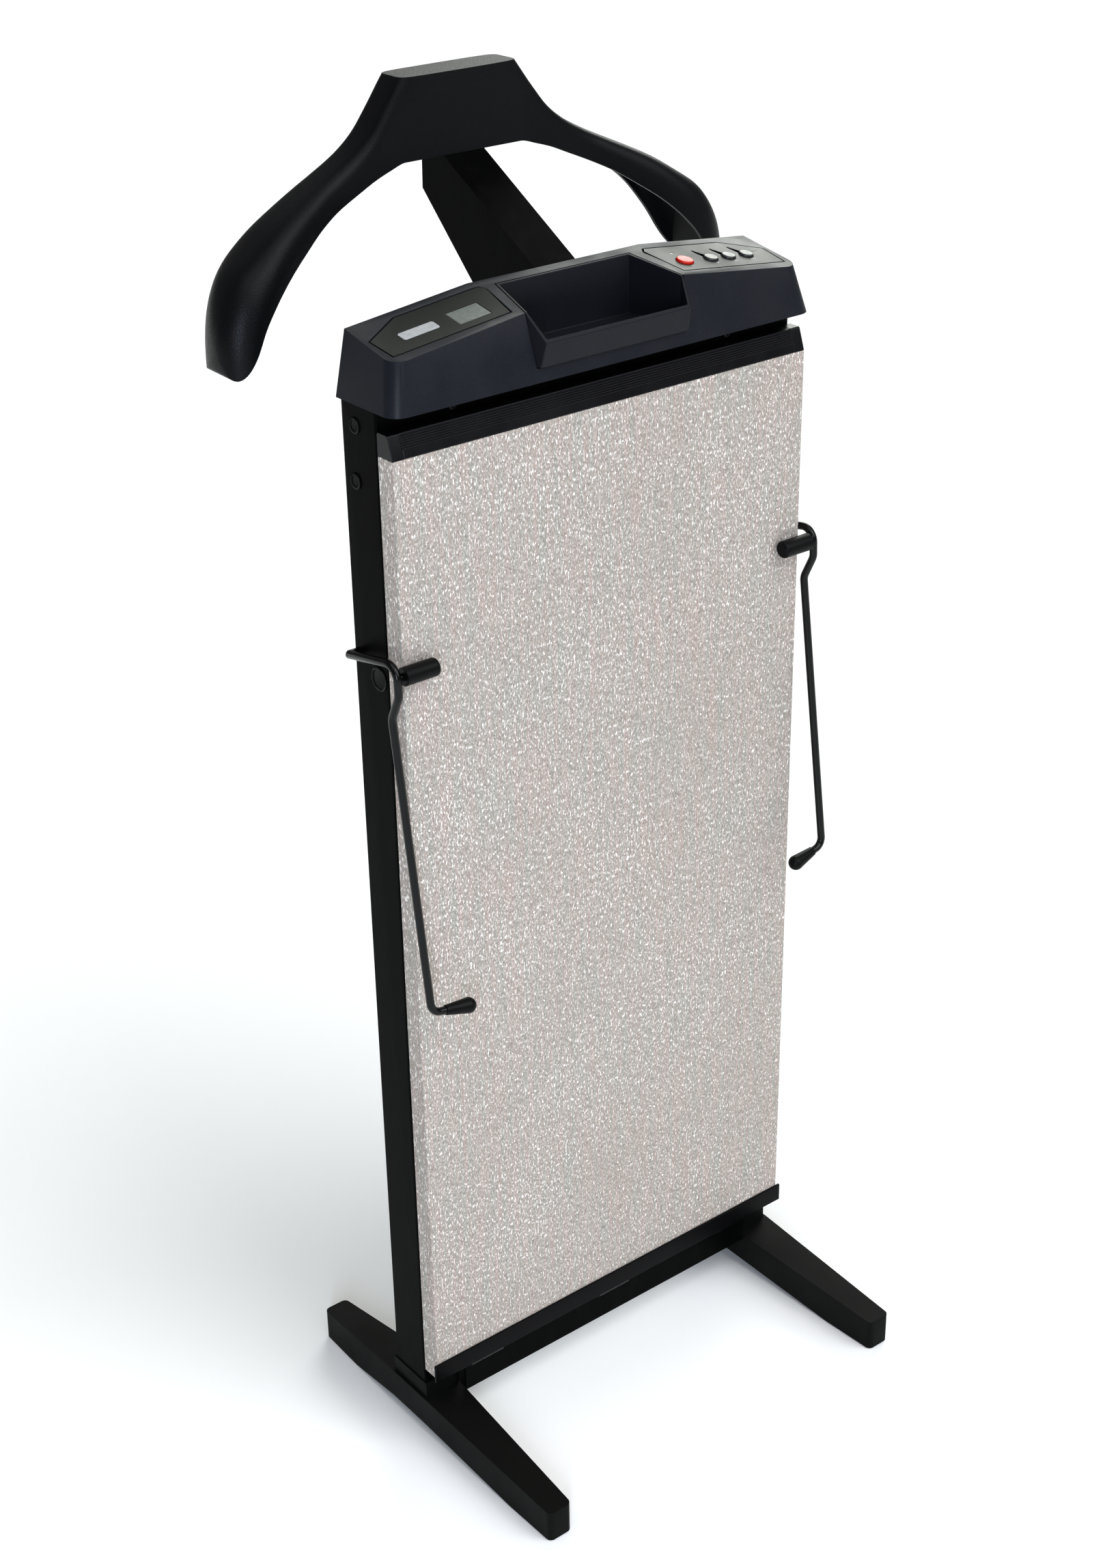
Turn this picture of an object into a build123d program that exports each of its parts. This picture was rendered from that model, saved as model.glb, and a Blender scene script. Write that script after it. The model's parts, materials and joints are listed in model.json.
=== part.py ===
# Free-standing electric trouser press with a valet tray and a jacket hanger.
# Millimetres, +Z up, the front faces -Y. The origin is on the floor, under the middle of the whole press.
import math
import os

from build123d import *

os.makedirs("parts", exist_ok=True)

# ---- front board, the pressing plate that tips forward ----
board_width = 386.0
board_height = 810.0
board_thickness = 18.0
board_bottom = 67.6
board_front = -26.5
board_back = board_front + board_thickness
board_top = board_bottom + board_height
open_gap = 0.5                      # air between the closed board and the uprights

# ---- ribbed trim on the top edge and lip strip on the bottom edge ----
trim_height = 17.5
trim_lean = 6.0                     # how far the trim's front leans back at its top
rib_count = 7
rib_depth = 0.8
trim_cap_width = 10.0
lip_height = 17.0
lip_thickness = 2.2
lip_overhang = 3.0                  # each end, past the board's side
lip_drop = 0.1                      # how far the lip reaches below the board

# ---- uprights and rails ----
upright_width = 26.0
upright_depth = 42.5
upright_wall = 1.8
upright_foot = 53.0                 # height of the upright's lower end
header_gap = 13.9                   # from the trim's top to the header's lower edge
header_floor = board_top + trim_height + header_gap
upright_front = board_back + open_gap
upright_rear = upright_front + upright_depth
upright_outer = board_width / 2
upright_inner = upright_outer - upright_width
upright_middle = (upright_inner + upright_outer) / 2
upright_center = (upright_front + upright_rear) / 2
rail_wall = 1.6
hinge_room = 6.6                    # between the lower rail and the board, for the hinges
lower_rail_height = 27.0
lower_rail_front = board_front + 6.5
lower_rail_top = board_bottom - hinge_room
lower_rail_bottom = lower_rail_top - lower_rail_height
upper_rail_height = 41.0
upper_rail_bottom = header_floor - upper_rail_height

# ---- feet ----
foot_front = -176.0
foot_rear = 149.0
foot_tip_height = 29.5
foot_mid_height = 38.0
foot_arch = 9.0                     # rise of the underside between the two pads
foot_pad_length = 51.0
foot_lift = 0.8                     # how far the glides stand out below the pads
foot_tip_outer = upright_outer - 0.5
foot_mid_outer = upright_outer + 3.5
foot_tip_width = 22.5
foot_mid_width = 36.5
foot_tip_inner = foot_tip_outer - foot_tip_width
foot_mid_inner = foot_mid_outer - foot_mid_width
foot_corner = 5.0
boss_length = upright_depth + 4.5
boss_side = 1.0                     # how far the boss stands out past the upright's side
glide_radius = 8.5
glide_height = 3.0
foot_bolt_radius = 3.0
bolt_seat = 12.0                    # from the arch up to the bolt heads' seats
bolt_reach = 30.0                   # how far the bolts run up into the uprights

# ---- pressing layers between the boards, from the front board backwards ----
pad_margin = 4.0                    # side gap from the pads to the uprights
front_foam_thickness = 3.2
cloth_thickness = 0.8
trouser_gap = 0.8
underlay_thickness = 2.4
heater_thickness = 1.6
back_board_thickness = 12.0
side_fit = 0.4                      # gap from the back board to each upright
rear_cover_thickness = 1.5
foam_back = board_back + front_foam_thickness
cloth_back = foam_back + cloth_thickness
press_front = cloth_back + trouser_gap
underlay_front = press_front + cloth_thickness
heater_front = underlay_front + underlay_thickness
back_board_front = heater_front + heater_thickness
back_board_rear = back_board_front + back_board_thickness
back_board_half = upright_inner - side_fit
pad_half = upright_inner - pad_margin
pad_low = board_bottom + 18.0
pad_high = min(upper_rail_bottom - 6.0, board_top - 15.6)
lower_rail_rear = back_board_rear + 2.0

# ---- header ----
plate_thickness = 2.0               # packing plate between the upper rail and the hanger bracket
header_rear = upright_rear + plate_thickness
header_front_bottom = board_front - 6.1
header_front_top = header_front_bottom + 11.1
header_rise_front = 48.4            # height of the flat middle at its front edge, above the header's floor
header_rise_rear = 58.4
header_top_rear = header_floor + header_rise_rear
header_top_front = header_floor + header_rise_front
header_end_drop = 12.2              # how far the top falls from the middle to each end
header_end_bottom = upright_outer + 2.0
header_end_lean = 10.0
header_end_top = header_end_bottom - header_end_lean
ridge_rear = 79.8                   # half length of the flat middle
ridge_front = 73.1
header_wall = 3.0
header_corner = 13.0
base_thickness = 2.0
base_fit = 0.9

# ---- valet tray ----
tray_back = header_rear - 9.3
tray_back_half = 61.7
tray_flare = 10.9                   # how much wider the tray is, on each side, at the header's front
tray_taper = 5.9                    # how much its nose narrows again, on each side
tray_mouth_half = tray_back_half + tray_flare
tray_lip_half = tray_mouth_half - tray_taper
tray_lip_y = header_front_bottom - 5.0
tray_lip_z = header_floor + 29.0
tray_floor = header_floor + 12.4
tray_front_foot = header_front_bottom - 0.4   # where the sloping front wall meets the floor
tray_wall = 2.0
tray_gap = 0.6
post_radius = 4.0

# ---- top panels, buttons and electronics, on the sloping ends of the header ----
panel_thickness = 2.4
panel_gap = 1.2
panel_ledge = 4.0
panel_end = header_end_top - 4.0    # x of the panel's outer edge
button_travel = 1.5
power_radius = 6.8
timer_radius = 5.7
button_fit = 0.4
button_height = 1.7
button_flange = 1.5
flange_thickness = 1.4
flange_play = 0.3
stem_radius = 2.6
stem_length = 9.0
power_spot = (94.2, 1.4)            # x and y of the centres
timer_spots = [(120.3, 1.8), (138.7, 2.5), (157.0, 3.0)]
scoop_reach = (-5.7, 15.5)          # from a timer button to its scoop's tip
scoop_depth = 0.9
led_spot = (94.3, 16.4)
led_radius = 1.5
window_center = (-104.2, 2.2)
window_size = (27.0, 18.2)
window_fit = 0.15
circuit_drop = 19.0                 # from the panel's face to the circuit board
circuit_thickness = 1.6
standoff_radius = 2.6
switch_height = 2.6
switch_gap = 0.4                    # left between stem and switch at full travel

# ---- hanger and its bracket ----
bracket_width = 37.6
bracket_wall = 3.0
bracket_rise = 120.8                # from the header's floor to the bracket's flat top
bracket_top = header_floor + bracket_rise
bracket_front = header_rear + 107.3
bracket_depth = 28.2
bracket_rear = bracket_front + bracket_depth
bracket_knee = (bracket_rear + 0.8, bracket_top - 28.9)
bracket_root_low = header_floor - 44.2
plate_half = 62.0
bracket_bolt_half = 45.0
bracket_bolt_rise = 11.0
bracket_bolt_radius = 2.5
hanger_rise = 60.2                  # the hanger's own height above the bracket's top
hanger_top = bracket_top + hanger_rise
hanger_half_span = 235.6
hanger_top_half = 53.0
hanger_wall = 3.5
hanger_front = bracket_front - 0.8
hanger_rear = bracket_rear + 4.0
hanger_drop = 184.0                 # from the hanger's top to the foot of its tips
hanger_tip_low = hanger_top - hanger_drop
hanger_swing = 38.0                 # how far its shoulders come forward
hanger_screw_half = 9.0
hanger_screw_radius = 2.0

# ---- clamp levers ----
wire_radius = 3.15
bush_radius = 7.0                   # the bush is bonded to the board's face
bush_y = board_front - bush_radius
bush_drop = 156.6                   # from the board's top edge to the bush
bush_z = board_top - bush_drop
bush_inner = upright_outer - 24.5
bush_outer = upright_outer + 4.6
axle_radius = 3.0
axle_fit = 0.06
axle_length = 22.0
lever_plane = upright_outer + 10.0
lever_rear = (upright_rear - 7.7, bush_z - 1.6)
lever_crown = (bush_y - 0.1, bush_z + 10.8)
lever_nose = (bush_y - 1.1, bush_z - 14.0)
lever_kink = (bush_y + 8.9, bush_z - 34.5)
lever_heel = (bush_y - 24.0, bush_z - 268.0)
lever_toe = (bush_y - 26.8, bush_z - 273.4)
toe_half = lever_plane - 35.0       # x of the wire's inner end
grip_half = toe_half - 3.3
grip_length = 27.0
grip_radius = 6.3
grip_neck = 3.9
tip_gap = 0.6                       # from the lever's rear tip to the upright

# ---- hinge at the foot of the front board ----
knuckle_radius = 2.6
hinge_gap = 0.1                     # from a knuckle to the board above it
hinge_y = board_front + 3.0
hinge_z = board_bottom - knuckle_radius - hinge_gap
pin_radius = 1.4
pin_fit = 0.06
hinge_xs = [27.0 - upright_inner, 0.0, upright_inner - 27.0]
knuckle_length = 11.0
knuckle_gap = 0.35
leaf_thickness = 1.2
leaf_reach = 15.0

# ---- small fittings ----
cap_radius = 6.0
cap_proud = 1.0
side_cap_spots = [(upright_center + 4.5, header_floor - 16.1), (upright_center + 6.6, header_floor - 57.3)]
pivot_cap_radius = 9.4
pivot_cap_spot = (upright_front + 11.7, bush_z - 16.1)
peg_radius = 3.2
peg_z = bush_z + 32.5
peg_proud = 7.0
rail_screw_half = upright_inner - 38.5
rail_screw_z = header_floor - 9.1
screw_head_radius = 3.2
screw_head_height = 1.4


def block(x0, x1, y0, y1, z0, z1):
    return Pos((x0 + x1) / 2, (y0 + y1) / 2, (z0 + z1) / 2) * Box(x1 - x0, y1 - y0, z1 - z0)


def rod(start, end, radius):
    start, end = Vector(*start), Vector(*end)
    along = end - start
    disc = Plane(origin=start, z_dir=along.normalized()) * Circle(radius)
    return extrude(disc, amount=along.length)


def side_prism(points, x0, x1):
    """An outline of (y, z) points, run from x0 to x1."""
    outline = Polyline(*[(x0, y, z) for y, z in points], close=True)
    return extrude(make_face(outline), amount=x1 - x0, dir=(1, 0, 0))


def plan_prism(points, z0, z1):
    """An outline of (x, y) points, run from z0 to z1."""
    outline = Polyline(*[(x, y, z0) for x, y in points], close=True)
    return extrude(make_face(outline), amount=z1 - z0, dir=(0, 0, 1))


def other_side(shape):
    return mirror(shape, about=Plane.YZ)


def trim_by(shape, point, normal):
    """Cut away what lies beyond the plane, on the side its normal points to."""
    return split(shape, bisect_by=Plane(origin=point, z_dir=normal), keep=Keep.BOTTOM)


def save(name, *shapes):
    solids = [solid for shape in shapes for solid in shape.solids()]
    export_step(Compound(children=solids) if len(solids) > 1 else solids[0], f"parts/{name}.step")


# ======== feet, uprights and rails ========

def make_foot():
    """One foot: a low arch on two pads, thicker and wider under its upright."""
    middle = upright_center
    half = boss_length / 2
    low = foot_lift + foot_arch
    profile = [
        (foot_front, foot_lift), (foot_front + foot_pad_length, foot_lift), (middle - half, low),
        (middle + half, low), (foot_rear - foot_pad_length, foot_lift), (foot_rear, foot_lift),
        (foot_rear, foot_tip_height), (middle + half, foot_mid_height),
        (middle - half, foot_mid_height), (foot_front, foot_tip_height),
    ]
    plan = [
        (foot_tip_inner, foot_front), (foot_tip_outer, foot_front), (foot_mid_outer, middle - half),
        (foot_mid_outer, middle + half), (foot_tip_outer, foot_rear), (foot_tip_inner, foot_rear),
        (foot_mid_inner, middle + half), (foot_mid_inner, middle - half),
    ]
    body = side_prism(profile, foot_mid_inner, foot_mid_outer)
    body &= plan_prism(plan, 0, foot_mid_height)
    tips = body.edges().filter_by(Axis.Z).group_by(Axis.Y)
    body = fillet(tips[0] + tips[-1], foot_corner)
    boss = block(foot_mid_inner, upright_outer + boss_side, middle - half, middle + half,
                 foot_mid_height - 4.0, upright_foot)
    body += boss
    for y in (foot_front + foot_pad_length / 2, foot_rear - foot_pad_length / 2):
        x = (foot_tip_inner + foot_tip_outer) / 2
        body -= rod((x, y, 0), (x, y, glide_height), glide_radius)
    for y in bolt_ys():
        x = upright_middle
        body -= rod((x, y, 0), (x, y, upright_foot), foot_bolt_radius + 0.3)
        body -= rod((x, y, 0), (x, y, foot_arch + bolt_seat), foot_bolt_radius * 2 + 0.5)
    return body


def bolt_ys():
    return [upright_center - upright_depth / 4, upright_center + upright_depth / 4]


def make_upright():
    """A rectangular tube with holes for its side caps and its cord peg."""
    tube = block(upright_inner, upright_outer, upright_front, upright_rear, upright_foot, header_floor)
    tube = fillet(tube.edges().filter_by(Axis.Z), 2.0)
    bore = block(upright_inner + upright_wall, upright_outer - upright_wall, upright_front + upright_wall,
                 upright_rear - upright_wall, upright_foot - 1, header_floor + 1)
    tube -= bore
    for y, z in side_cap_spots:
        tube -= rod((upright_outer - upright_wall - 1, y, z), (upright_outer + 1, y, z), cap_radius - 1.5)
    y, z = pivot_cap_spot
    tube -= rod((upright_outer - upright_wall - 1, y, z), (upright_outer + 1, y, z), pivot_cap_radius - 2)
    tube -= rod((upright_middle, upright_rear - upright_wall - 1, peg_z),
                (upright_middle, upright_rear + 1, peg_z), peg_radius)
    return tube


def make_spigot():
    """The block in an upright's lower end that the foot's bolts screw into."""
    fit = 0.2
    x0, x1 = upright_inner + upright_wall + fit, upright_outer - upright_wall - fit
    y0, y1 = upright_front + upright_wall + fit, upright_rear - upright_wall - fit
    body = block(x0, x1, y0, y1, upright_foot, upright_foot + bolt_reach * 2)
    for y in bolt_ys():
        body -= rod((upright_middle, y, upright_foot), (upright_middle, y, upright_foot + bolt_reach),
                    foot_bolt_radius)
    return body


def make_foot_bolts():
    bolts = []
    x = upright_middle
    seat = foot_arch + bolt_seat
    for y in bolt_ys():
        bolt = rod((x, y, seat), (x, y, upright_foot + bolt_reach), foot_bolt_radius)
        bolt += rod((x, y, seat - 4.0), (x, y, seat), foot_bolt_radius * 2)
        bolts.append(bolt)
    return bolts


def make_glides():
    x = (foot_tip_inner + foot_tip_outer) / 2
    ys = (foot_front + foot_pad_length / 2, foot_rear - foot_pad_length / 2)
    return [rod((x, y, 0), (x, y, glide_height), glide_radius) for y in ys]


foot = make_foot()
upright = make_upright()
spigot = make_spigot()
foot_bolts = make_foot_bolts()
glides = make_glides()
save("foot_right", foot)
save("foot_left", other_side(foot))
save("upright_right", upright)
save("upright_left", other_side(upright))
save("upright_spigots", spigot, other_side(spigot))
save("foot_bolts", *foot_bolts, *[other_side(bolt) for bolt in foot_bolts])
save("foot_glides", *glides, *[other_side(glide) for glide in glides])


def make_lower_rail():
    """A channel between the feet, open at the rear, under the hinge of the front board."""
    body = block(-foot_mid_inner, foot_mid_inner, lower_rail_front, lower_rail_rear,
                 lower_rail_bottom, lower_rail_top)
    body -= block(-foot_mid_inner - 1, foot_mid_inner + 1, lower_rail_front + rail_wall,
                  lower_rail_rear + 1, lower_rail_bottom + rail_wall, lower_rail_top - rail_wall)
    return body


def make_upper_rail():
    """A channel between the uprights, open at the rear, above the back board."""
    body = block(-upright_inner, upright_inner, upright_front, upright_rear,
                 upper_rail_bottom, header_floor)
    body -= block(-upright_inner - 1, upright_inner + 1, upright_front + rail_wall,
                  upright_rear - rail_wall, upper_rail_bottom + rail_wall, header_floor - rail_wall)
    for x in (-rail_screw_half, rail_screw_half):
        body -= rod((x, upright_front - 1, rail_screw_z), (x, upright_front + rail_wall + 1, rail_screw_z),
                    screw_head_radius / 2)
    for x, z in bracket_bolt_spots():
        body -= rod((x, upright_rear - rail_wall - 1, z), (x, upright_rear + 1, z), bracket_bolt_radius + 0.1)
    return body


def bracket_bolt_spots():
    middle = (upper_rail_bottom + header_floor) / 2
    return [(x, middle + dz) for x in (-bracket_bolt_half, bracket_bolt_half)
            for dz in (-bracket_bolt_rise, bracket_bolt_rise)]


save("lower_rail", make_lower_rail())
save("upper_rail", make_upper_rail())

rail_screws = []
for x in (-rail_screw_half, rail_screw_half):
    screw = rod((x, upright_front, rail_screw_z), (x, upright_front + 8, rail_screw_z), screw_head_radius / 2)
    screw += rod((x, upright_front - screw_head_height, rail_screw_z),
                 (x, upright_front, rail_screw_z), screw_head_radius)
    rail_screws.append(screw)
save("upper_rail_screws", *rail_screws)


def make_cap(y, z, radius, proud, plug):
    """A round plastic cap in the side of an upright, with a plug through its wall."""
    cap = rod((upright_outer, y, z), (upright_outer + proud, y, z), radius)
    cap = fillet(cap.edges().group_by(Axis.X)[-1], proud * 0.6)
    return cap + rod((upright_outer - upright_wall - 1, y, z), (upright_outer, y, z), plug)


side_caps = [make_cap(y, z, cap_radius, cap_proud, cap_radius - 1.5) for y, z in side_cap_spots]
pivot_cap = make_cap(*pivot_cap_spot, pivot_cap_radius, cap_proud, pivot_cap_radius - 2)
save("side_screw_caps", *side_caps, *[other_side(cap) for cap in side_caps])
save("pivot_caps", pivot_cap, other_side(pivot_cap))

peg = rod((upright_middle, upright_rear - upright_wall - 4, peg_z),
          (upright_middle, upright_rear + peg_proud, peg_z), peg_radius)
peg = fillet(peg.edges().group_by(Axis.Y)[-1], peg_radius * 0.8)
save("cord_pegs", peg, other_side(peg))


# ======== pressing layers ========

save("front_foam_pad", block(-pad_half, pad_half, board_back, foam_back, pad_low, pad_high))
save("front_press_cloth", block(-pad_half, pad_half, foam_back, cloth_back, pad_low, pad_high))
save("rear_press_cloth", block(-pad_half, pad_half, press_front, underlay_front, pad_low, pad_high))
save("felt_underlay", block(-pad_half, pad_half, underlay_front, heater_front, pad_low, pad_high))
save("heating_pad", block(-pad_half, pad_half, heater_front, back_board_front, pad_low, pad_high))
save("back_board", block(-back_board_half, back_board_half, back_board_front, back_board_rear,
                         lower_rail_top, upper_rail_bottom))

thermostat_z = (board_bottom + board_top) / 2 + 87.0
thermostat = rod((40, back_board_rear, thermostat_z), (40, back_board_rear + 9, thermostat_z), 9.0)
fuse = block(-48, -22, back_board_rear, back_board_rear + 6, thermostat_z - 4, thermostat_z + 4)
save("thermostat", thermostat)
save("thermal_fuse", fuse)

rear_cover_low = lower_rail_top + 2.0
rear_cover_high = upper_rail_bottom - 1.0
rear_cover_front = upright_rear - 1.0 - rear_cover_thickness
slot_rows = 5
slot_pitch = 14.0
slot_length = 90.0
slot_half = 72.0                    # from the middle of the cover to a bank's centre
slot_height = 4.0
slot_base = upper_rail_bottom - 178.0
gland_radius = 8.0
gland_spot = (47.0 - back_board_half, lower_rail_top + 69.0)
cover_screw_zs = [rear_cover_low + 20, (rear_cover_low + rear_cover_high) / 2, rear_cover_high - 20]
cover_screw_x = back_board_half - 12.0


def make_rear_cover():
    """The thin back panel with two banks of ventilation slots and the cord's entry."""
    panel = block(-back_board_half, back_board_half, rear_cover_front,
                  rear_cover_front + rear_cover_thickness, rear_cover_low, rear_cover_high)
    for side in (-1, 1):
        for row in range(slot_rows):
            z = slot_base + row * slot_pitch
            x = side * slot_half
            panel -= block(x - slot_length / 2, x + slot_length / 2, rear_cover_front - 1,
                           rear_cover_front + rear_cover_thickness + 1, z, z + slot_height)
    x, z = gland_spot
    panel -= rod((x, rear_cover_front - 1, z), (x, rear_cover_front + 4, z), gland_radius - 2)
    for z in cover_screw_zs:
        for x in (-cover_screw_x, cover_screw_x):
            panel -= rod((x, rear_cover_front - 1, z), (x, rear_cover_front + 4, z), 1.8)
    return panel


def make_gland():
    """A ribbed bush in the rear cover that the mains lead would leave through."""
    x, z = gland_spot
    rear = rear_cover_front + rear_cover_thickness
    body = rod((x, rear, z), (x, rear + 5, z), gland_radius)
    body += rod((x, rear_cover_front - 3, z), (x, rear, z), gland_radius - 2)
    body += rod((x, rear + 5, z), (x, rear + 12, z), gland_radius - 2.5)
    return body - rod((x, rear_cover_front - 4, z), (x, rear + 13, z), 3.0)


def make_cover_fixings():
    """Posts from the back board to the rear cover, and the screws that hold the cover on them."""
    posts, screws = [], []
    rear = rear_cover_front + rear_cover_thickness
    for z in cover_screw_zs:
        for x in (-cover_screw_x, cover_screw_x):
            post = rod((x, back_board_rear, z), (x, rear_cover_front, z), 4.5)
            posts.append(post - rod((x, back_board_rear, z), (x, rear_cover_front, z), 1.5))
            screw = rod((x, back_board_rear + 4, z), (x, rear, z), 1.5)
            head = rod((x, rear, z), (x, rear + 1.8, z), 3.4)
            screws.append(screw + fillet(head.edges().group_by(Axis.Y)[-1], 1.0))
    return posts, screws


save("rear_cover", make_rear_cover())
save("cable_gland", make_gland())
cover_posts, cover_screws = make_cover_fixings()
save("rear_cover_posts", *cover_posts)
save("rear_cover_screws", *cover_screws)


# ======== header ========

mid_slope = Vector(0, header_top_front - header_top_rear, header_rear - header_front_top).normalized()
front_slope = Vector(0, -(header_top_front - header_floor),
                     header_front_top - header_front_bottom).normalized()
end_rear_z = header_top_rear - header_end_drop
end_front_z = header_top_front - header_end_drop
end_slope = Vector(end_rear_z - header_floor, 0, header_end_bottom - header_end_top).normalized()
ridge_back = Vector(ridge_rear, header_rear, header_top_rear)
ridge_fore = Vector(ridge_front, header_front_top, header_top_front)
end_middle = Vector(header_end_top, (header_rear + header_front_top) / 2, (end_rear_z + end_front_z) / 2)
wing_normal = (end_middle - ridge_fore).cross(ridge_back - ridge_fore).normalized()
left_wing_normal = Vector(-wing_normal.X, wing_normal.Y, wing_normal.Z)
left_ridge_fore = Vector(-ridge_front, header_front_top, header_top_front)


def make_header_body(inset, floor):
    """The header's outer shape, drawn in by inset on every face but its floor."""
    body = block(-header_end_bottom, header_end_bottom, header_front_bottom,
                 header_rear - inset, floor, header_top_rear + 5)
    faces = [
        (Vector(0, header_front_top, header_top_front), mid_slope),
        (Vector(0, header_front_bottom, header_floor), front_slope),
        (Vector(header_end_bottom, 0, header_floor), end_slope),
        (Vector(-header_end_bottom, 0, header_floor), Vector(-end_slope.X, 0, end_slope.Z)),
        (ridge_fore, wing_normal),
        (left_ridge_fore, left_wing_normal),
    ]
    for point, normal in faces:
        body = trim_by(body, point - normal * inset, normal)
    corners = [
        edge for edge in body.edges()
        if abs(edge.tangent_at(0.5).Z) > 0.8 and edge.center().Y < 0
    ]
    return fillet(corners, header_corner - inset)


def tray_outline(gap):
    """The tray's plan, drawn out by gap: a straight back, flared sides and a tapered nose."""
    right = [
        (tray_back_half + gap, tray_back + gap), (tray_mouth_half + gap, header_front_top),
        (tray_lip_half + gap, tray_lip_y - gap),
    ]
    return right + [(-x, y) for x, y in reversed(right)]


def make_tray():
    """An open tray that drops into the header and noses out through its front."""
    under = tray_floor - tray_wall
    body = plan_prism(tray_outline(0), under, header_top_rear)
    body = trim_by(body, (0, header_front_top, header_top_front), mid_slope)
    wing = Vector(0, tray_lip_z - header_top_front, header_front_top - tray_lip_y).normalized()
    body = trim_by(body, (0, header_front_top, header_top_front), wing)
    nose = Vector(0, -(tray_lip_z - under), tray_lip_y - tray_front_foot).normalized()
    body = trim_by(body, (0, tray_lip_y, tray_lip_z), nose)
    hollow = plan_prism(tray_outline(-tray_wall), tray_floor, header_top_rear)
    hollow = trim_by(hollow, Vector(0, tray_lip_y, tray_lip_z) - nose * tray_wall, nose)
    return body - hollow


def panel_points(gap):
    """The six-sided panel on the header's right end, drawn in by gap."""
    front, rear = header_front_top + 6.3, header_rear - 7.7
    inner, corner = tray_mouth_half + 6.4, panel_end - 31.0
    return [
        (inner + gap, front + gap), (panel_end - gap, front - 0.3 + gap),
        (panel_end + 1.5 - gap, rear - 17.3 - gap * 0.4), (corner - gap * 0.4, rear + 0.2 - gap),
        (inner - 3.5 + gap, rear - gap), (inner - 6.7 + gap, rear - 5.8),
    ]


wing_plane = Plane(origin=ridge_fore, z_dir=wing_normal)


def wing_point(x, y, depth=0.0):
    """The point of the right wing above (x, y), sunk by depth along the wing's normal."""
    fall = (x - ridge_fore.X) * wing_normal.X + (y - ridge_fore.Y) * wing_normal.Y
    return Vector(x, y, ridge_fore.Z - fall / wing_normal.Z) - wing_normal * depth


def wing_slab(points, top, bottom):
    """A flat piece parallel to the right wing, between two depths under its face."""
    outline = Polyline(*[wing_point(x, y, top) for x, y in points], close=True)
    return extrude(make_face(outline), amount=bottom - top, dir=-wing_normal)


def wing_rod(spot, top, bottom, radius):
    return rod(wing_point(*spot, bottom), wing_point(*spot, top), radius)


def make_header_cover():
    shell = make_header_body(0, header_floor) - make_header_body(header_wall, header_floor - 5)
    shell -= plan_prism(tray_outline(tray_gap), tray_floor - tray_wall - tray_gap, header_top_rear + 5)
    for side in (1, -1):
        pocket = wing_slab(panel_points(0), -1, panel_thickness)
        through = wing_slab(panel_points(panel_ledge), -1, header_wall * 2)
        cut = pocket + through
        shell -= cut if side > 0 else other_side(cut)
    return shell


def make_header_base():
    """The floor of the header, with four posts under the tray."""
    inset = header_wall + base_fit
    half = header_end_bottom - inset
    base = block(-half, half, header_front_bottom + inset, header_rear - inset,
                 header_floor, header_floor + base_thickness)
    base = fillet(base.edges().filter_by(Axis.Z).group_by(Axis.Y)[0], header_corner - inset)
    for x in (14.0 - tray_back_half, tray_back_half - 14.0):
        for y in (tray_front_foot + 21.0, tray_back - 11.2):
            base += rod((x, y, header_floor + base_thickness), (x, y, tray_floor - tray_wall), post_radius)
    return base


header_cover = make_header_cover()
save("header_cover", header_cover)
save("header_base", make_header_base())
save("valet_tray", make_tray())

button_spots = [power_spot] + timer_spots
button_radii = [power_radius] + [timer_radius] * len(timer_spots)


def make_control_panel():
    panel = wing_slab(panel_points(panel_gap), 0, panel_thickness)
    for spot, radius in zip(button_spots, button_radii):
        panel -= wing_rod(spot, -1, panel_thickness + 1, radius + button_fit)
    for x, y in timer_spots:
        tip = (x + scoop_reach[0], y + scoop_reach[1])
        length = math.hypot(*scoop_reach)
        side = Vector(scoop_reach[1] / length, -scoop_reach[0] / length)
        wide, thin = timer_radius * 0.62, 0.9
        taper = [
            (x + side.X * wide, y + side.Y * wide), (tip[0] + side.X * thin, tip[1] + side.Y * thin),
            (tip[0] - side.X * thin, tip[1] - side.Y * thin), (x - side.X * wide, y - side.Y * wide),
        ]
        panel -= wing_slab(taper, -0.5, scoop_depth)
    return panel - wing_rod(led_spot, -1, panel_thickness + 1, led_radius + 0.1)


def make_button(spot, radius):
    """A domed cap, a retaining flange under the panel and a stem down to the switch."""
    flange_top = panel_thickness + flange_play
    flange_low = flange_top + flange_thickness
    cap = wing_rod(spot, -button_height, flange_top, radius)
    rim = cap.edges().filter_by(GeomType.CIRCLE).sort_by(Axis.Z)[-1]
    cap = fillet(rim, button_height * 0.7)
    cap += wing_rod(spot, flange_top, flange_low, radius + button_flange)
    return cap + wing_rod(spot, flange_low, flange_low + stem_length, stem_radius)


left_panel = wing_slab(panel_points(panel_gap), 0, panel_thickness)
wx, wy = window_center
ww, wh = window_size
window_points = [(-wx + ww / 2, wy - wh / 2), (-wx + ww / 2, wy + wh / 2),
                 (-wx - ww / 2, wy + wh / 2), (-wx - ww / 2, wy - wh / 2)]
window_hole = wing_slab(window_points, -1, panel_thickness + 1)
pane_points = [(x + math.copysign(window_fit, -wx - x), y + math.copysign(window_fit, wy - y))
               for x, y in window_points]
save("left_panel", other_side(left_panel - window_hole))
save("display_window", other_side(wing_slab(pane_points, 0.3, panel_thickness)))
save("control_panel", make_control_panel())
save("power_button", make_button(power_spot, power_radius))
for number, spot in enumerate(timer_spots, 1):
    save(f"timer_button_{number}", make_button(spot, timer_radius))

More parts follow.
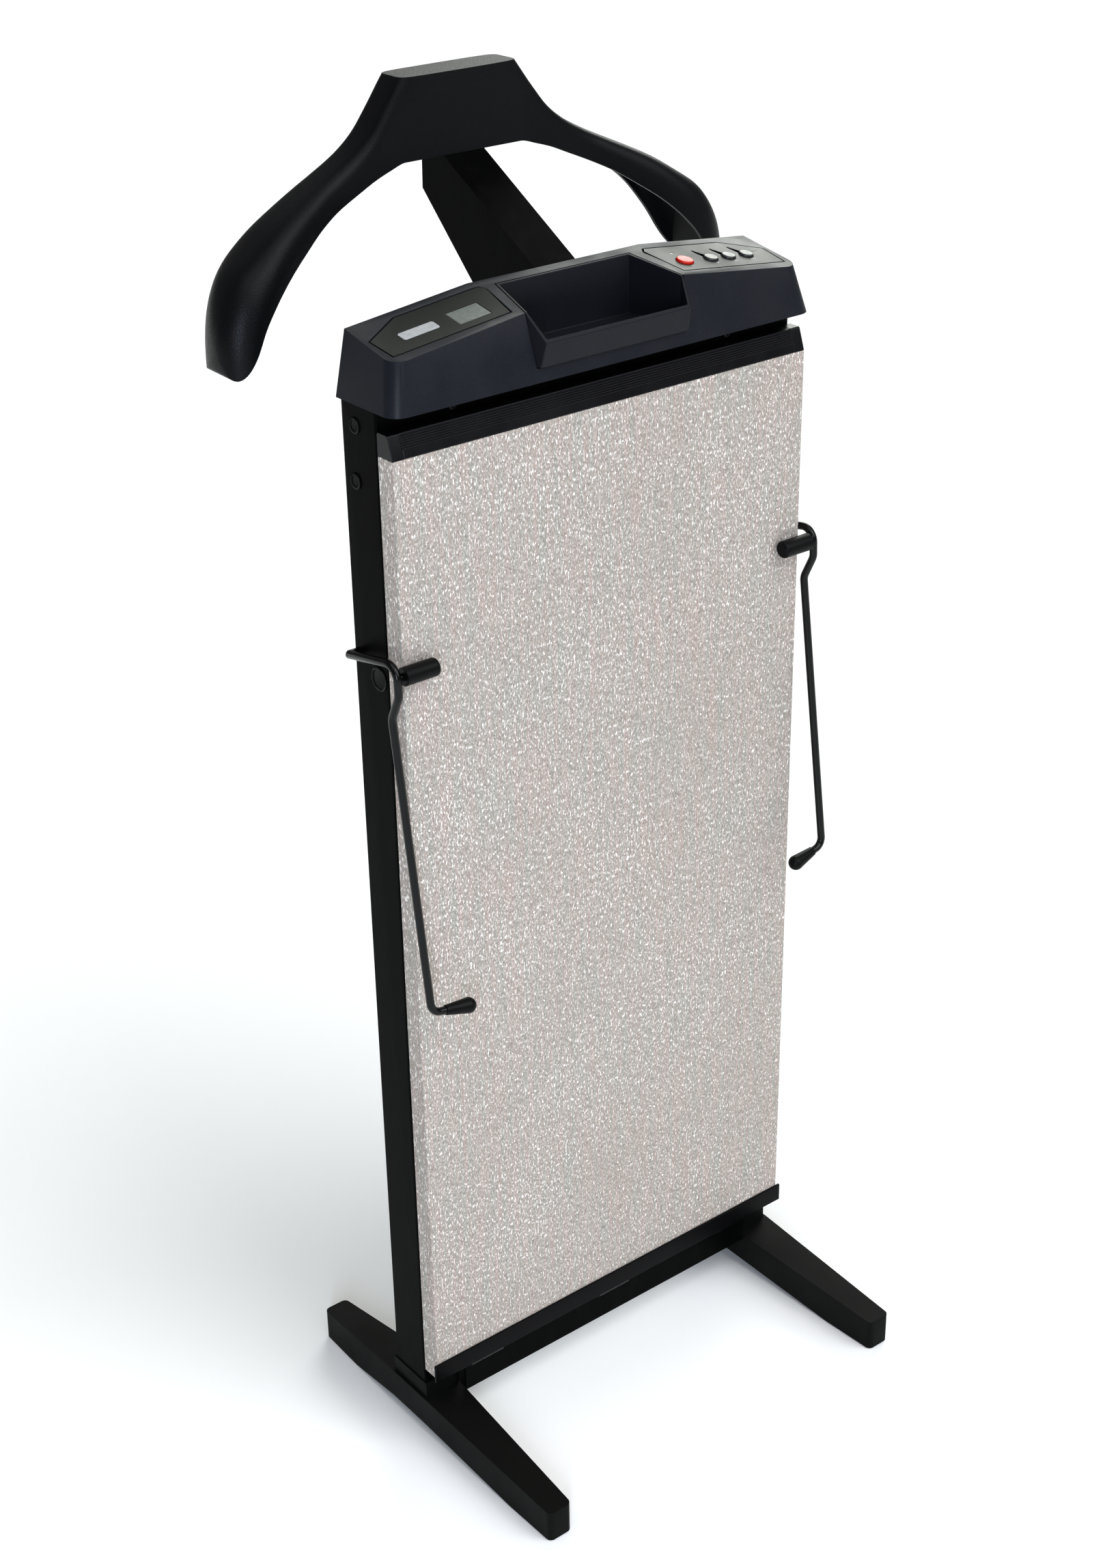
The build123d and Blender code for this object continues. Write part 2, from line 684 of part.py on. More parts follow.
led = wing_rod(led_spot, 0.2, circuit_drop, led_radius)
circuit_points = [(83.0, -11.0), (168.0, -11.0), (168.0, 14.0), (155.0, 21.0), (83.0, 21.0)]
standoff_spots = [(86.0, -8.0), (164.0, -7.5), (87.0, 18.0), (151.0, 17.0)]
circuit = wing_slab(circuit_points, circuit_drop, circuit_drop + circuit_thickness)
save("indicator_led", led)
save("circuit_board", circuit)
standoffs = [wing_rod(spot, panel_thickness, circuit_drop, standoff_radius) for spot in standoff_spots]
save("circuit_standoffs", *standoffs)
stem_end = panel_thickness + flange_play + flange_thickness + stem_length
switches = []
for x, y in button_spots:
    corners = [(x - 3, y - 3), (x + 3, y - 3), (x + 3, y + 3), (x - 3, y + 3)]
    switch = wing_slab(corners, circuit_drop - switch_height, circuit_drop)
    plunger_top = stem_end + button_travel + switch_gap
    switches.append(switch + wing_rod((x, y), plunger_top, circuit_drop - switch_height, 1.7))
save("tact_switches", *switches)


# ======== jacket hanger and bracket ========

def make_bracket():
    """A wedge-shaped channel that leans back from the header, open along its lower edge."""
    half = bracket_width / 2
    profile = [(header_rear, header_top_rear), (bracket_front, bracket_top), (bracket_rear, bracket_top),
               bracket_knee, (header_rear, bracket_root_low)]
    body = side_prism(profile, -half, half)
    lean = Vector(0, header_top_rear - bracket_top, bracket_front - header_rear).normalized()
    inner = header_rear + bracket_wall
    hollow = side_prism([(inner, bracket_top + 10), (bracket_rear + 30, bracket_top + 10),
                         (bracket_knee[0] + 40, bracket_knee[1]), (inner, bracket_root_low - 40)],
                        -half + bracket_wall, half - bracket_wall)
    hollow = trim_by(hollow, Vector(0, header_rear, header_top_rear) - lean * bracket_wall, lean)
    hollow = trim_by(hollow, (0, 0, bracket_top - bracket_wall), (0, 0, 1))
    body -= hollow
    flange = block(-plate_half, plate_half, header_rear, inner, upper_rail_bottom + 1, header_floor - 1)
    for x, z in bracket_bolt_spots():
        flange -= rod((x, header_rear - 1, z), (x, inner + 1, z), bracket_bolt_radius + 0.2)
    return body + flange


def make_bracket_plate():
    """The packing plate between the upper rail and the bracket's flange."""
    plate = block(-plate_half, plate_half, upright_rear, header_rear, upper_rail_bottom + 1, header_floor - 1)
    for x, z in bracket_bolt_spots():
        plate -= rod((x, upright_rear - 1, z), (x, header_rear + 1, z), bracket_bolt_radius + 0.1)
    return plate


def make_bracket_bolts():
    bolts = []
    outer = header_rear + bracket_wall
    for x, z in bracket_bolt_spots():
        bolt = rod((x, upright_rear - 8, z), (x, outer, z), bracket_bolt_radius)
        head = rod((x, outer, z), (x, outer + 3.2, z), 4.6)
        bolts.append(bolt + fillet(head.edges().group_by(Axis.Y)[-1], 1.2))
    return bolts


def hanger_face(inset):
    """Half of the hanger seen from the front, its crest and tip drawn in by inset."""
    top = hanger_top - inset * 1.15
    low = bracket_top - (25.0 if inset else 0.0)
    tip_low = hanger_tip_low - (12.0 if inset else 0.0)
    reach = hanger_half_span
    crest = Spline(
        (hanger_top_half - inset * 0.6, 0, top), (hanger_top_half + 29, 0, top - 37),
        (reach - 119.6, 0, top - 59), (reach - 61.6, 0, top - 87), (reach - 19.6, 0, top - 114),
        (reach - inset, 0, hanger_top - 156),
        tangents=[(0.5, 0, -1), (-0.05, 0, -1)],
    )
    tip = Spline(
        crest @ 1, (reach - 6 - inset, 0, tip_low + 7), (reach - 18.6, 0, tip_low),
        tangents=[(-0.05, 0, -1), (-1, 0, 0.15)],
    )
    under = Spline(
        tip @ 1, (reach - 29.6 - inset, 0, tip_low + 29), (reach - 59.6, 0, low - 61),
        (reach - 100.6, 0, low - 33), (hanger_top_half + 31, 0, low - 9), (hanger_top_half - 13, 0, low),
        tangents=[(-0.85, 0, 0.55), (-1, 0, 0)],
    )
    closing = Polyline(under @ 1, (0, 0, low), (0, 0, top), crest @ 0)
    return make_face(Curve() + [crest, tip, under, closing])


def hanger_plan(inset):
    """Half of the hanger seen from above: straight behind, its shoulders swung forward."""
    reach = hanger_half_span
    ahead = hanger_front + inset
    behind = hanger_rear - inset
    front = Spline(
        (hanger_top_half + 7, ahead, 0), (reach - 119.6, ahead - 4.5, 0), (reach - 70.6, ahead - 21.5, 0),
        (reach - 33.6, ahead - hanger_swing, 0), (reach - inset, hanger_front - hanger_swing + 21, 0),
        tangents=[(1, 0, 0), (0.2, 1, 0)],
    )
    back = Spline(
        front @ 1, (reach - 13.6 - inset, hanger_rear - 18 - inset * 0.5, 0), (reach - 55.6, behind, 0),
        tangents=[(0.2, 1, 0), (-1, 0, 0)],
    )
    closing = Polyline(back @ 1, (0, behind, 0), (0, ahead, 0), front @ 0)
    return make_face(Curve() + [front, back, closing])


def make_hanger_half(inset):
    seen_ahead = extrude(hanger_face(inset), amount=hanger_rear + 100, dir=(0, 1, 0))
    seen_above = extrude(hanger_plan(inset), amount=hanger_drop + 60, dir=(0, 0, 1))
    seen_above = Pos(0, 0, hanger_tip_low - 30) * seen_above
    return seen_ahead & seen_above


def make_hanger():
    """A moulded shell, hollow from below, with a web across it over the bracket."""
    outer, hollow = make_hanger_half(0), make_hanger_half(hanger_wall)
    shell = outer - hollow
    shell += other_side(shell)
    half = bracket_width / 2
    web = block(-half - 6, half + 6, hanger_front + 1, hanger_rear - 1,
                bracket_top, bracket_top + web_thickness)
    for x in hanger_screw_xs:
        web -= rod((x, hanger_middle, bracket_top - 1), (x, hanger_middle, bracket_top + web_thickness + 1),
                   hanger_screw_radius)
    return shell + web


web_thickness = 5.0
hanger_screw_xs = (-hanger_screw_half, hanger_screw_half)
hanger_middle = (bracket_front + bracket_rear) / 2
bracket = make_bracket()
hanger_screws = []
for x in hanger_screw_xs:
    head_top = bracket_top - bracket_wall
    bracket -= rod((x, hanger_middle, head_top - 1), (x, hanger_middle, bracket_top + 1),
                   hanger_screw_radius + 0.2)
    screw = rod((x, hanger_middle, head_top), (x, hanger_middle, bracket_top + 9), hanger_screw_radius)
    head = rod((x, hanger_middle, head_top - 2.4), (x, hanger_middle, head_top), hanger_screw_radius * 2)
    hanger_screws.append(screw + head)
save("hanger_bracket", bracket)
save("bracket_plate", make_bracket_plate())
save("bracket_bolts", *make_bracket_bolts())
save("jacket_hanger", make_hanger())
save("hanger_screws", *hanger_screws)


# ======== front board ========

def make_bush():
    """The rubber-covered bearing on the board's face that a clamp lever turns in."""
    y = bush_y
    body = rod((bush_inner, y, bush_z), (bush_outer, y, bush_z), bush_radius)
    body = fillet(body.edges().group_by(Axis.X)[0], 2.5)
    pad = block(bush_inner + 4, upright_outer - 2, y, board_front, bush_z - 4, bush_z + 4)
    bore = rod((bush_outer - axle_length, y, bush_z), (bush_outer + 1, y, bush_z), axle_radius + axle_fit)
    return body + pad - bore


def make_top_trim():
    """The ribbed strip along the board's top edge, between its two end caps."""
    half = board_width / 2 - trim_cap_width
    lean = trim_lean / trim_height
    profile = [(board_front, board_top), (board_back, board_top), (board_back, board_top + trim_height),
               (board_front + trim_lean, board_top + trim_height)]
    strip = side_prism(profile, -half, half)
    pitch = trim_height / (rib_count + 1)
    for rib in range(rib_count):
        z = board_top + pitch * (rib + 1)
        y = board_front + lean * (z - board_top)
        strip -= block(-half - 1, half + 1, y - 1, y + rib_depth, z - pitch * 0.22, z + pitch * 0.22)
    return strip, profile


trim_strip, trim_profile = make_top_trim()
trim_cap = side_prism(trim_profile, board_width / 2 - trim_cap_width, board_width / 2)
trim_cap = fillet(trim_cap.edges().filter_by(Axis.X).group_by(Axis.Z)[-1], 2.0)
front_board = block(-board_width / 2, board_width / 2, board_front, board_back, board_bottom, board_top)
lip_low = board_bottom - lip_drop
lip = block(-board_width / 2 - lip_overhang, board_width / 2 + lip_overhang, board_front - lip_thickness,
            board_front, lip_low, lip_low + lip_height)
lip = fillet(lip.edges().filter_by(Axis.X).group_by(Axis.Y)[0], 0.8)
bush = make_bush()
save("front_board", front_board)
save("top_trim", trim_strip)
save("trim_end_caps", trim_cap, other_side(trim_cap))
save("bottom_lip", lip)
save("lever_bushes", bush, other_side(bush))


# ======== board hinge ========

def make_hinges():
    """Three butt hinges: two outer knuckles on the rail, one on the board, and a pin through all."""
    rail_side, board_side, pins = [], [], []
    pitch = knuckle_length + knuckle_gap
    for x in hinge_xs:
        x0 = x - knuckle_length / 2
        spans = [x0 - pitch, x0 + pitch]
        bore = rod((x - 40, hinge_y, hinge_z), (x + 40, hinge_y, hinge_z), pin_radius)
        wide_bore = rod((x - 40, hinge_y, hinge_z), (x + 40, hinge_y, hinge_z), pin_radius + pin_fit)
        leaf = block(spans[0], spans[1] + knuckle_length, hinge_y + knuckle_radius + 0.6,
                     hinge_y + leaf_reach, lower_rail_top, lower_rail_top + leaf_thickness)
        for start in spans:
            leaf += rod((start, hinge_y, hinge_z), (start + knuckle_length, hinge_y, hinge_z), knuckle_radius)
            leaf += block(start, start + knuckle_length, hinge_y, hinge_y + leaf_reach,
                          lower_rail_top, lower_rail_top + leaf_thickness + 0.6)
        rail_side.append(leaf - bore)
        tab = block(x0, x0 + knuckle_length, hinge_y, hinge_y + leaf_reach,
                    board_bottom - leaf_thickness, board_bottom)
        tab += rod((x0, hinge_y, hinge_z), (x0 + knuckle_length, hinge_y, hinge_z), knuckle_radius)
        board_side.append(tab - wide_bore)
        pin_end = spans[1] + knuckle_length
        pins.append(rod((spans[0], hinge_y, hinge_z), (pin_end, hinge_y, hinge_z), pin_radius))
    return rail_side, board_side, pins


rail_leaves, board_leaves, hinge_pins = make_hinges()
save("hinge_rail_leaves", *rail_leaves)
save("hinge_board_leaves", *board_leaves)
save("hinge_pins", *hinge_pins)


# ======== clamp levers ========

def make_lever():
    """The right lever: one bent wire with an axle welded inside its hook."""
    points = [(lever_plane, *lever_rear), (lever_plane, *lever_crown), (lever_plane, *lever_nose),
              (lever_plane, *lever_kink), (lever_plane, *lever_heel), (toe_half, *lever_toe)]
    path = FilletPolyline(*points, radius=[11.0, 12.0, 12.0, 9.0])
    section = Plane(origin=path @ 0, z_dir=path % 0) * Circle(wire_radius)
    wire = sweep(section, path=path)
    axle = rod((bush_outer - axle_length + 1, bush_y, bush_z), (lever_plane, bush_y, bush_z), axle_radius)
    tip = rod((upright_outer + tip_gap, *lever_rear), (lever_plane, *lever_rear), wire_radius)
    return wire + axle + tip


def make_grip():
    """The rubber tip on the lever's inward leg, wider at its rounded end."""
    toe = Vector(toe_half, *lever_toe)
    along = (toe - Vector(lever_plane, *lever_heel)).normalized()
    end = toe + along * (toe_half - grip_half) / abs(along.X)
    start = end - along * grip_length
    dome_start = grip_length - grip_radius
    outline = Polyline((0, 0), (0, grip_neck), (dome_start, grip_radius))
    dome_middle = (dome_start + grip_radius * math.sin(math.pi / 4), grip_radius * math.cos(math.pi / 4))
    dome = ThreePointArc(outline @ 1, dome_middle, (grip_length, 0))
    profile = make_face(Curve() + [outline, dome, Line((grip_length, 0), (0, 0))])
    bore = rod((-1, 0, 0), ((toe - start).length, 0, 0), wire_radius)
    body = revolve(profile, axis=Axis.X) - bore
    return Plane(origin=start, x_dir=along, z_dir=along.cross(Vector(0, 0, 1))) * body


lever = make_lever()
grip = make_grip()
save("lever_right", lever)
save("lever_left", other_side(lever))
save("grip_right", grip)
save("grip_left", other_side(grip))
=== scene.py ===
import json
import math

import bmesh
import bpy
from mathutils import Matrix, Vector


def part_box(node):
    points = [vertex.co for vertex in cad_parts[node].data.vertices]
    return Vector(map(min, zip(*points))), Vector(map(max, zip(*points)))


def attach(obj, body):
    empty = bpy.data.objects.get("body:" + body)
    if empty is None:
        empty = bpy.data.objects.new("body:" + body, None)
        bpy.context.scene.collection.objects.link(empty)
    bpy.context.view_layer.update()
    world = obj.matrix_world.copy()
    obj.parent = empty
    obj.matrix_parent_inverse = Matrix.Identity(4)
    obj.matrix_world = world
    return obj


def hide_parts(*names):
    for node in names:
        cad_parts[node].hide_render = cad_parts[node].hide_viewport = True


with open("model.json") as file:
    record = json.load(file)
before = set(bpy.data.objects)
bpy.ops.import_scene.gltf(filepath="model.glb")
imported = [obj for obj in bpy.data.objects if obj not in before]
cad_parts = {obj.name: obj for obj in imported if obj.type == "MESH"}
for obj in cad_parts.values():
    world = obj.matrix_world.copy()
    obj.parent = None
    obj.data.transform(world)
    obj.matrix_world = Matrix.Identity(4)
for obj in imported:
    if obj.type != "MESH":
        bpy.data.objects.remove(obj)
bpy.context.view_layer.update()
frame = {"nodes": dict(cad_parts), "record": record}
nodes = frame["nodes"]
mm = 0.001

# camera, lights and floor

view = {
    "place": (-1.0533, -1.2993, 1.4291), "lens": 54.50,
    "azimuth": 37.970, "elevation": 27.556, "roll": -1.0077,
}


def makeCamera():
    azimuth, elevation, roll = (math.radians(view[k]) for k in ("azimuth", "elevation", "roll"))
    flat = math.cos(elevation)
    ahead = Vector((math.sin(azimuth) * flat, math.cos(azimuth) * flat, -math.sin(elevation)))
    level = Vector((math.cos(azimuth), -math.sin(azimuth), 0))
    upward = level.cross(ahead)
    side = level * math.cos(roll) + upward * math.sin(roll)
    top = upward * math.cos(roll) - level * math.sin(roll)
    turn = Matrix((side, top, -ahead)).transposed()
    data = bpy.data.cameras.new("camera")
    data.sensor_fit = "VERTICAL"
    data.sensor_height = 36
    data.lens = view["lens"]
    data.clip_end = 60
    camera = bpy.data.objects.new("camera", data)
    bpy.context.scene.collection.objects.link(camera)
    camera.matrix_world = Matrix.Translation(view["place"]) @ turn.to_4x4()
    bpy.context.scene.camera = camera


studio = {
    "worldStrength": 0.21, "floorTone": 0.93, "floorSize": 14.0, "gamma": 0.9,
    "suns": [  # name, direction the light travels in, strength, softness in degrees, colour
        ("keySun", (-0.35, 0.75, -0.75), 1.8, 50, (0.94, 0.97, 1.0)),
        ("topSun", (0.1, 0.30, -1.0), 1.2, 60, (1.0, 1.0, 0.97)),
        ("backSun", (-0.69, -0.57, -0.45), 1.35, 34, (0.97, 1.0, 0.95)),
    ],
    "strip": {"place": (-1.75, -1.95, 1.35), "aim": (-0.19, -0.03, 0.9), "size": (0.25, 1.2), "power": 33,
              "colour": (0.74, 0.84, 1.0)},
}


def link(obj):
    bpy.context.scene.collection.objects.link(obj)
    return obj


def pointAt(obj, place, target):
    turn = (Vector(target) - Vector(place)).to_track_quat("-Z", "Y")
    obj.matrix_world = Matrix.Translation(place) @ turn.to_matrix().to_4x4()


def makeStudio():
    world = bpy.data.worlds.new("studio")
    world.use_nodes = True
    backdrop = world.node_tree.nodes["Background"]
    backdrop.inputs["Color"].default_value = (1, 1, 1, 1)
    backdrop.inputs["Strength"].default_value = studio["worldStrength"]
    bpy.context.scene.world = world
    for name, direction, strength, softness, colour in studio["suns"]:
        data = bpy.data.lights.new(name, "SUN")
        data.color = colour
        data.energy = strength
        data.angle = math.radians(softness)
        pointAt(link(bpy.data.objects.new(name, data)), (0, 0, 3), Vector((0, 0, 3)) + Vector(direction))
    strip = studio["strip"]
    data = bpy.data.lights.new("stripLight", "AREA")
    data.shape = "RECTANGLE"
    data.size, data.size_y = strip["size"]
    data.energy = strip["power"]
    data.color = strip["colour"]
    pointAt(link(bpy.data.objects.new("stripLight", data)), strip["place"], strip["aim"])
    half = studio["floorSize"]
    mesh = bpy.data.meshes.new("floor")
    corners = [(-half, -half, 0), (half, -half, 0), (half, half, 0), (-half, half, 0)]
    mesh.from_pydata(corners, [], [(0, 1, 2, 3)])
    floor = link(bpy.data.objects.new("floor", mesh))
    mesh.materials.append(newMaterial("floorPaint", (studio["floorTone"],) * 3, 0.9)[0])
    bpy.context.scene.view_settings.view_transform = "Standard"
    bpy.context.scene.view_settings.gamma = studio["gamma"]


# materials

def newMaterial(name, colour, roughness, **sockets):
    material = bpy.data.materials.new(name)
    material.use_nodes = True
    tree = material.node_tree
    shader = tree.nodes["Principled BSDF"]
    shader.inputs["Base Color"].default_value = (*colour, 1)
    shader.inputs["Roughness"].default_value = roughness
    for label, value in sockets.items():
        shader.inputs[label.replace("_", " ")].default_value = value
    return material, tree, shader


def addNode(tree, kind, inputs=None, **settings):
    node = tree.nodes.new(kind)
    for label, value in settings.items():
        setattr(node, label, value)
    for label, value in (inputs or {}).items():
        if isinstance(value, bpy.types.NodeSocket):
            tree.links.new(value, node.inputs[label])
        else:
            node.inputs[label].default_value = value
    return node


def scaledPoint(tree, scale, turn=(0, 0, 0)):
    here = addNode(tree, "ShaderNodeTexCoord").outputs["Object"]
    inputs = {"Vector": here, "Scale": scale, "Rotation": turn}
    return addNode(tree, "ShaderNodeMapping", inputs).outputs["Vector"]


def noise(tree, point, detail=2.0, rough=0.5, scale=1.0):
    inputs = {"Vector": point, "Scale": scale, "Detail": detail, "Roughness": rough}
    return addNode(tree, "ShaderNodeTexNoise", inputs).outputs["Fac"]


def remap(tree, value, low, high, toLow=0.0, toHigh=1.0):
    inputs = {"Value": value, "From Min": low, "From Max": high, "To Min": toLow, "To Max": toHigh}
    return addNode(tree, "ShaderNodeMapRange", inputs, clamp=True).outputs["Result"]


def mixColour(tree, factor, first, second, blend="MIX"):
    node = addNode(tree, "ShaderNodeMix", {"Factor": factor}, data_type="RGBA", blend_type=blend)
    for socket, value in ((node.inputs[6], first), (node.inputs[7], second)):
        if isinstance(value, bpy.types.NodeSocket):
            tree.links.new(value, socket)
        else:
            socket.default_value = (*value, 1)
    return node.outputs[2]


def combine(tree, operation, first, second):
    node = addNode(tree, "ShaderNodeMath", operation=operation)
    for socket, value in zip(node.inputs, (first, second)):
        if isinstance(value, bpy.types.NodeSocket):
            tree.links.new(value, socket)
        else:
            socket.default_value = value
    return node.outputs[0]


def setBump(tree, shader, height, strength, distance):
    inputs = {"Height": height, "Strength": strength, "Distance": distance}
    bump = addNode(tree, "ShaderNodeBump", inputs)
    tree.links.new(bump.outputs["Normal"], shader.inputs["Normal"])


laminate = {
    "pink": (0.405, 0.328, 0.294), "green": (0.342, 0.330, 0.291), "fleck": (0.93, 0.89, 0.86),
    "grain": (0.185, 0.160, 0.146), "streakScale": (260, 260, 11), "fleckScale": (640, 640, 270),
}


def makeLaminate(name):
    # decorative board skin: pinkish and greenish strands, dark grain and scattered pearly flecks
    material, tree, shader = newMaterial(name, laminate["pink"], 0.42, Specular_IOR_Level=0.40)
    streaks = noise(tree, scaledPoint(tree, laminate["streakScale"]), 3.0, 0.6)
    broad = noise(tree, scaledPoint(tree, (9, 9, 7)), 2.0)
    fine = noise(tree, scaledPoint(tree, (1150, 1150, 420), (0.2, 0.1, 0)), 3.0, 0.65)
    spots = noise(tree, scaledPoint(tree, laminate["fleckScale"]), 2.0, 0.6)
    colour = mixColour(tree, remap(tree, streaks, 0.38, 0.62), laminate["pink"], laminate["green"])
    colour = mixColour(tree, remap(tree, fine, 0.50, 0.70, 0.0, 0.85), colour, laminate["grain"])
    colour = mixColour(tree, remap(tree, fine, 0.48, 0.32, 0.0, 0.45), colour, laminate["fleck"])
    gathered = combine(tree, "ADD", spots, remap(tree, broad, 0.3, 0.7, -0.02, 0.02))
    flecks = remap(tree, gathered, 0.585, 0.655)
    colour = mixColour(tree, flecks, colour, laminate["fleck"])
    tree.links.new(colour, shader.inputs["Base Color"])
    tree.links.new(remap(tree, flecks, 0, 1, 0.46, 0.24), shader.inputs["Roughness"])
    height = combine(tree, "ADD", spots, combine(tree, "MULTIPLY", streaks, 0.35))
    setBump(tree, shader, height, 0.45, 0.0002)
    return material


def makeMoulded(name, colour, roughness, grain=1300, depth=0.00006, speckle=0.35, level=0.5, wear=0.06):
    # fine spark-eroded texture, with faint pale specks and a little patchy gloss
    material, tree, shader = newMaterial(name, colour, roughness, Specular_IOR_Level=level)
    fine = noise(tree, scaledPoint(tree, (grain, grain, grain)), 3.0, 0.6)
    patches = noise(tree, scaledPoint(tree, (22, 22, 22)), 3.0, 0.6)
    pale = tuple(min(1.0, v * 2.2 + 0.012) for v in colour)
    specks = remap(tree, fine, 0.58, 0.74, 0.0, speckle)
    tree.links.new(mixColour(tree, specks, colour, pale), shader.inputs["Base Color"])
    gloss = remap(tree, patches, 0.3, 0.7, roughness - wear, roughness + wear)
    tree.links.new(gloss, shader.inputs["Roughness"])
    setBump(tree, shader, fine, 0.55, depth)
    return material


def makeLeatherGrain(name, colour, roughness, level=0.5):
    material, tree, shader = newMaterial(name, colour, roughness, Specular_IOR_Level=level)
    point = scaledPoint(tree, (620, 620, 620))
    cells = addNode(tree, "ShaderNodeTexVoronoi", {"Vector": point, "Scale": 1.0, "Randomness": 1.0},
                    feature="DISTANCE_TO_EDGE").outputs["Distance"]
    creases = remap(tree, cells, 0.0, 0.28)
    fine = noise(tree, scaledPoint(tree, (1800, 1800, 1800)), 2.0)
    height = combine(tree, "ADD", creases, combine(tree, "MULTIPLY", fine, 0.4))
    pale = tuple(min(1.0, v * 1.9 + 0.006) for v in colour)
    worn = mixColour(tree, remap(tree, fine, 0.5, 0.8, 0, 0.5), colour, pale)
    tree.links.new(worn, shader.inputs["Base Color"])
    tree.links.new(remap(tree, creases, 0, 1, roughness + 0.12, roughness - 0.03), shader.inputs["Roughness"])
    setBump(tree, shader, height, 0.5, 0.00012)
    return material


def makePainted(name, colour, roughness, level=0.4, coat=0.0):
    # powder coat: a soft orange peel under a satin skin
    material, tree, shader = newMaterial(name, colour, roughness, Specular_IOR_Level=level, Coat_Weight=coat)
    shader.inputs["Coat Roughness"].default_value = 0.12
    peel = noise(tree, scaledPoint(tree, (420, 420, 420)), 2.0)
    dust = noise(tree, scaledPoint(tree, (60, 60, 25)), 4.0, 0.65)
    pale = tuple(v * 1.6 + 0.004 for v in colour)
    dusty = mixColour(tree, remap(tree, dust, 0.5, 0.75, 0, 0.6), colour, pale)
    tree.links.new(dusty, shader.inputs["Base Color"])
    gloss = remap(tree, dust, 0.3, 0.7, roughness - 0.04, roughness + 0.06)
    tree.links.new(gloss, shader.inputs["Roughness"])
    setBump(tree, shader, peel, 0.35, 0.00008)
    return material


def makeMetal(name, colour, roughness, along=(900, 900, 60)):
    material, tree, shader = newMaterial(name, colour, roughness, Metallic=1.0)
    drawn = noise(tree, scaledPoint(tree, along), 3.0, 0.6)
    dull = tuple(v * 0.72 for v in colour)
    tree.links.new(mixColour(tree, remap(tree, drawn, 0.35, 0.7), colour, dull), shader.inputs["Base Color"])
    gloss = remap(tree, drawn, 0.3, 0.7, roughness - 0.08, roughness + 0.12)
    tree.links.new(gloss, shader.inputs["Roughness"])
    setBump(tree, shader, drawn, 0.25, 0.00003)
    return material


def makeWeave(name, colour, thread, pitch):
    # plain weave: warp and weft waves on the cloth's own plane
    material, tree, shader = newMaterial(name, colour, 0.85, Sheen_Weight=0.25)
    turns = 1 / pitch
    inputs = {"Vector": scaledPoint(tree, (turns, 0, 0)), "Scale": 0.5, "Distortion": 0.0}
    warp = addNode(tree, "ShaderNodeTexWave", inputs, bands_direction="X").outputs["Fac"]
    inputs = {"Vector": scaledPoint(tree, (0, 0, turns)), "Scale": 0.5, "Distortion": 0.0}
    weft = addNode(tree, "ShaderNodeTexWave", inputs, bands_direction="Z").outputs["Fac"]
    over = combine(tree, "MULTIPLY", warp, weft)
    slub = noise(tree, scaledPoint(tree, (400, 400, 60)), 3.0, 0.6)
    shade = combine(tree, "ADD", over, combine(tree, "MULTIPLY", slub, 0.5))
    tree.links.new(mixColour(tree, remap(tree, shade, 0.1, 1.2), thread, colour), shader.inputs["Base Color"])
    setBump(tree, shader, over, 0.6, 0.0003)
    return material


def makeFelt(name, colour):
    material, tree, shader = newMaterial(name, colour, 0.95, Sheen_Weight=0.35)
    fibres = noise(tree, scaledPoint(tree, (900, 900, 350)), 4.0, 0.7)
    pale = tuple(min(1.0, v * 1.3) for v in colour)
    mottled = mixColour(tree, remap(tree, fibres, 0.35, 0.65), colour, pale)
    tree.links.new(mottled, shader.inputs["Base Color"])
    setBump(tree, shader, fibres, 0.7, 0.0005)
    return material


def makeFibreboard(name, colour):
    material, tree, shader = newMaterial(name, colour, 0.8)
    chips = noise(tree, scaledPoint(tree, (500, 500, 260)), 4.0, 0.7)
    dark = tuple(v * 0.6 for v in colour)
    tree.links.new(mixColour(tree, remap(tree, chips, 0.35, 0.65), dark, colour), shader.inputs["Base Color"])
    setBump(tree, shader, chips, 0.4, 0.0003)
    return material


def makeGlossy(name, colour, roughness, level=0.5, coat=0.0):
    material, tree, shader = newMaterial(name, colour, roughness, Specular_IOR_Level=level, Coat_Weight=coat)
    smudge = noise(tree, scaledPoint(tree, (240, 240, 240)), 3.0, 0.6)
    deep = tuple(v * 0.8 for v in colour)
    tree.links.new(mixColour(tree, remap(tree, smudge, 0.35, 0.7), colour, deep), shader.inputs["Base Color"])
    gloss = remap(tree, smudge, 0.3, 0.7, roughness - 0.03, roughness + 0.07)
    tree.links.new(gloss, shader.inputs["Roughness"])
    return material


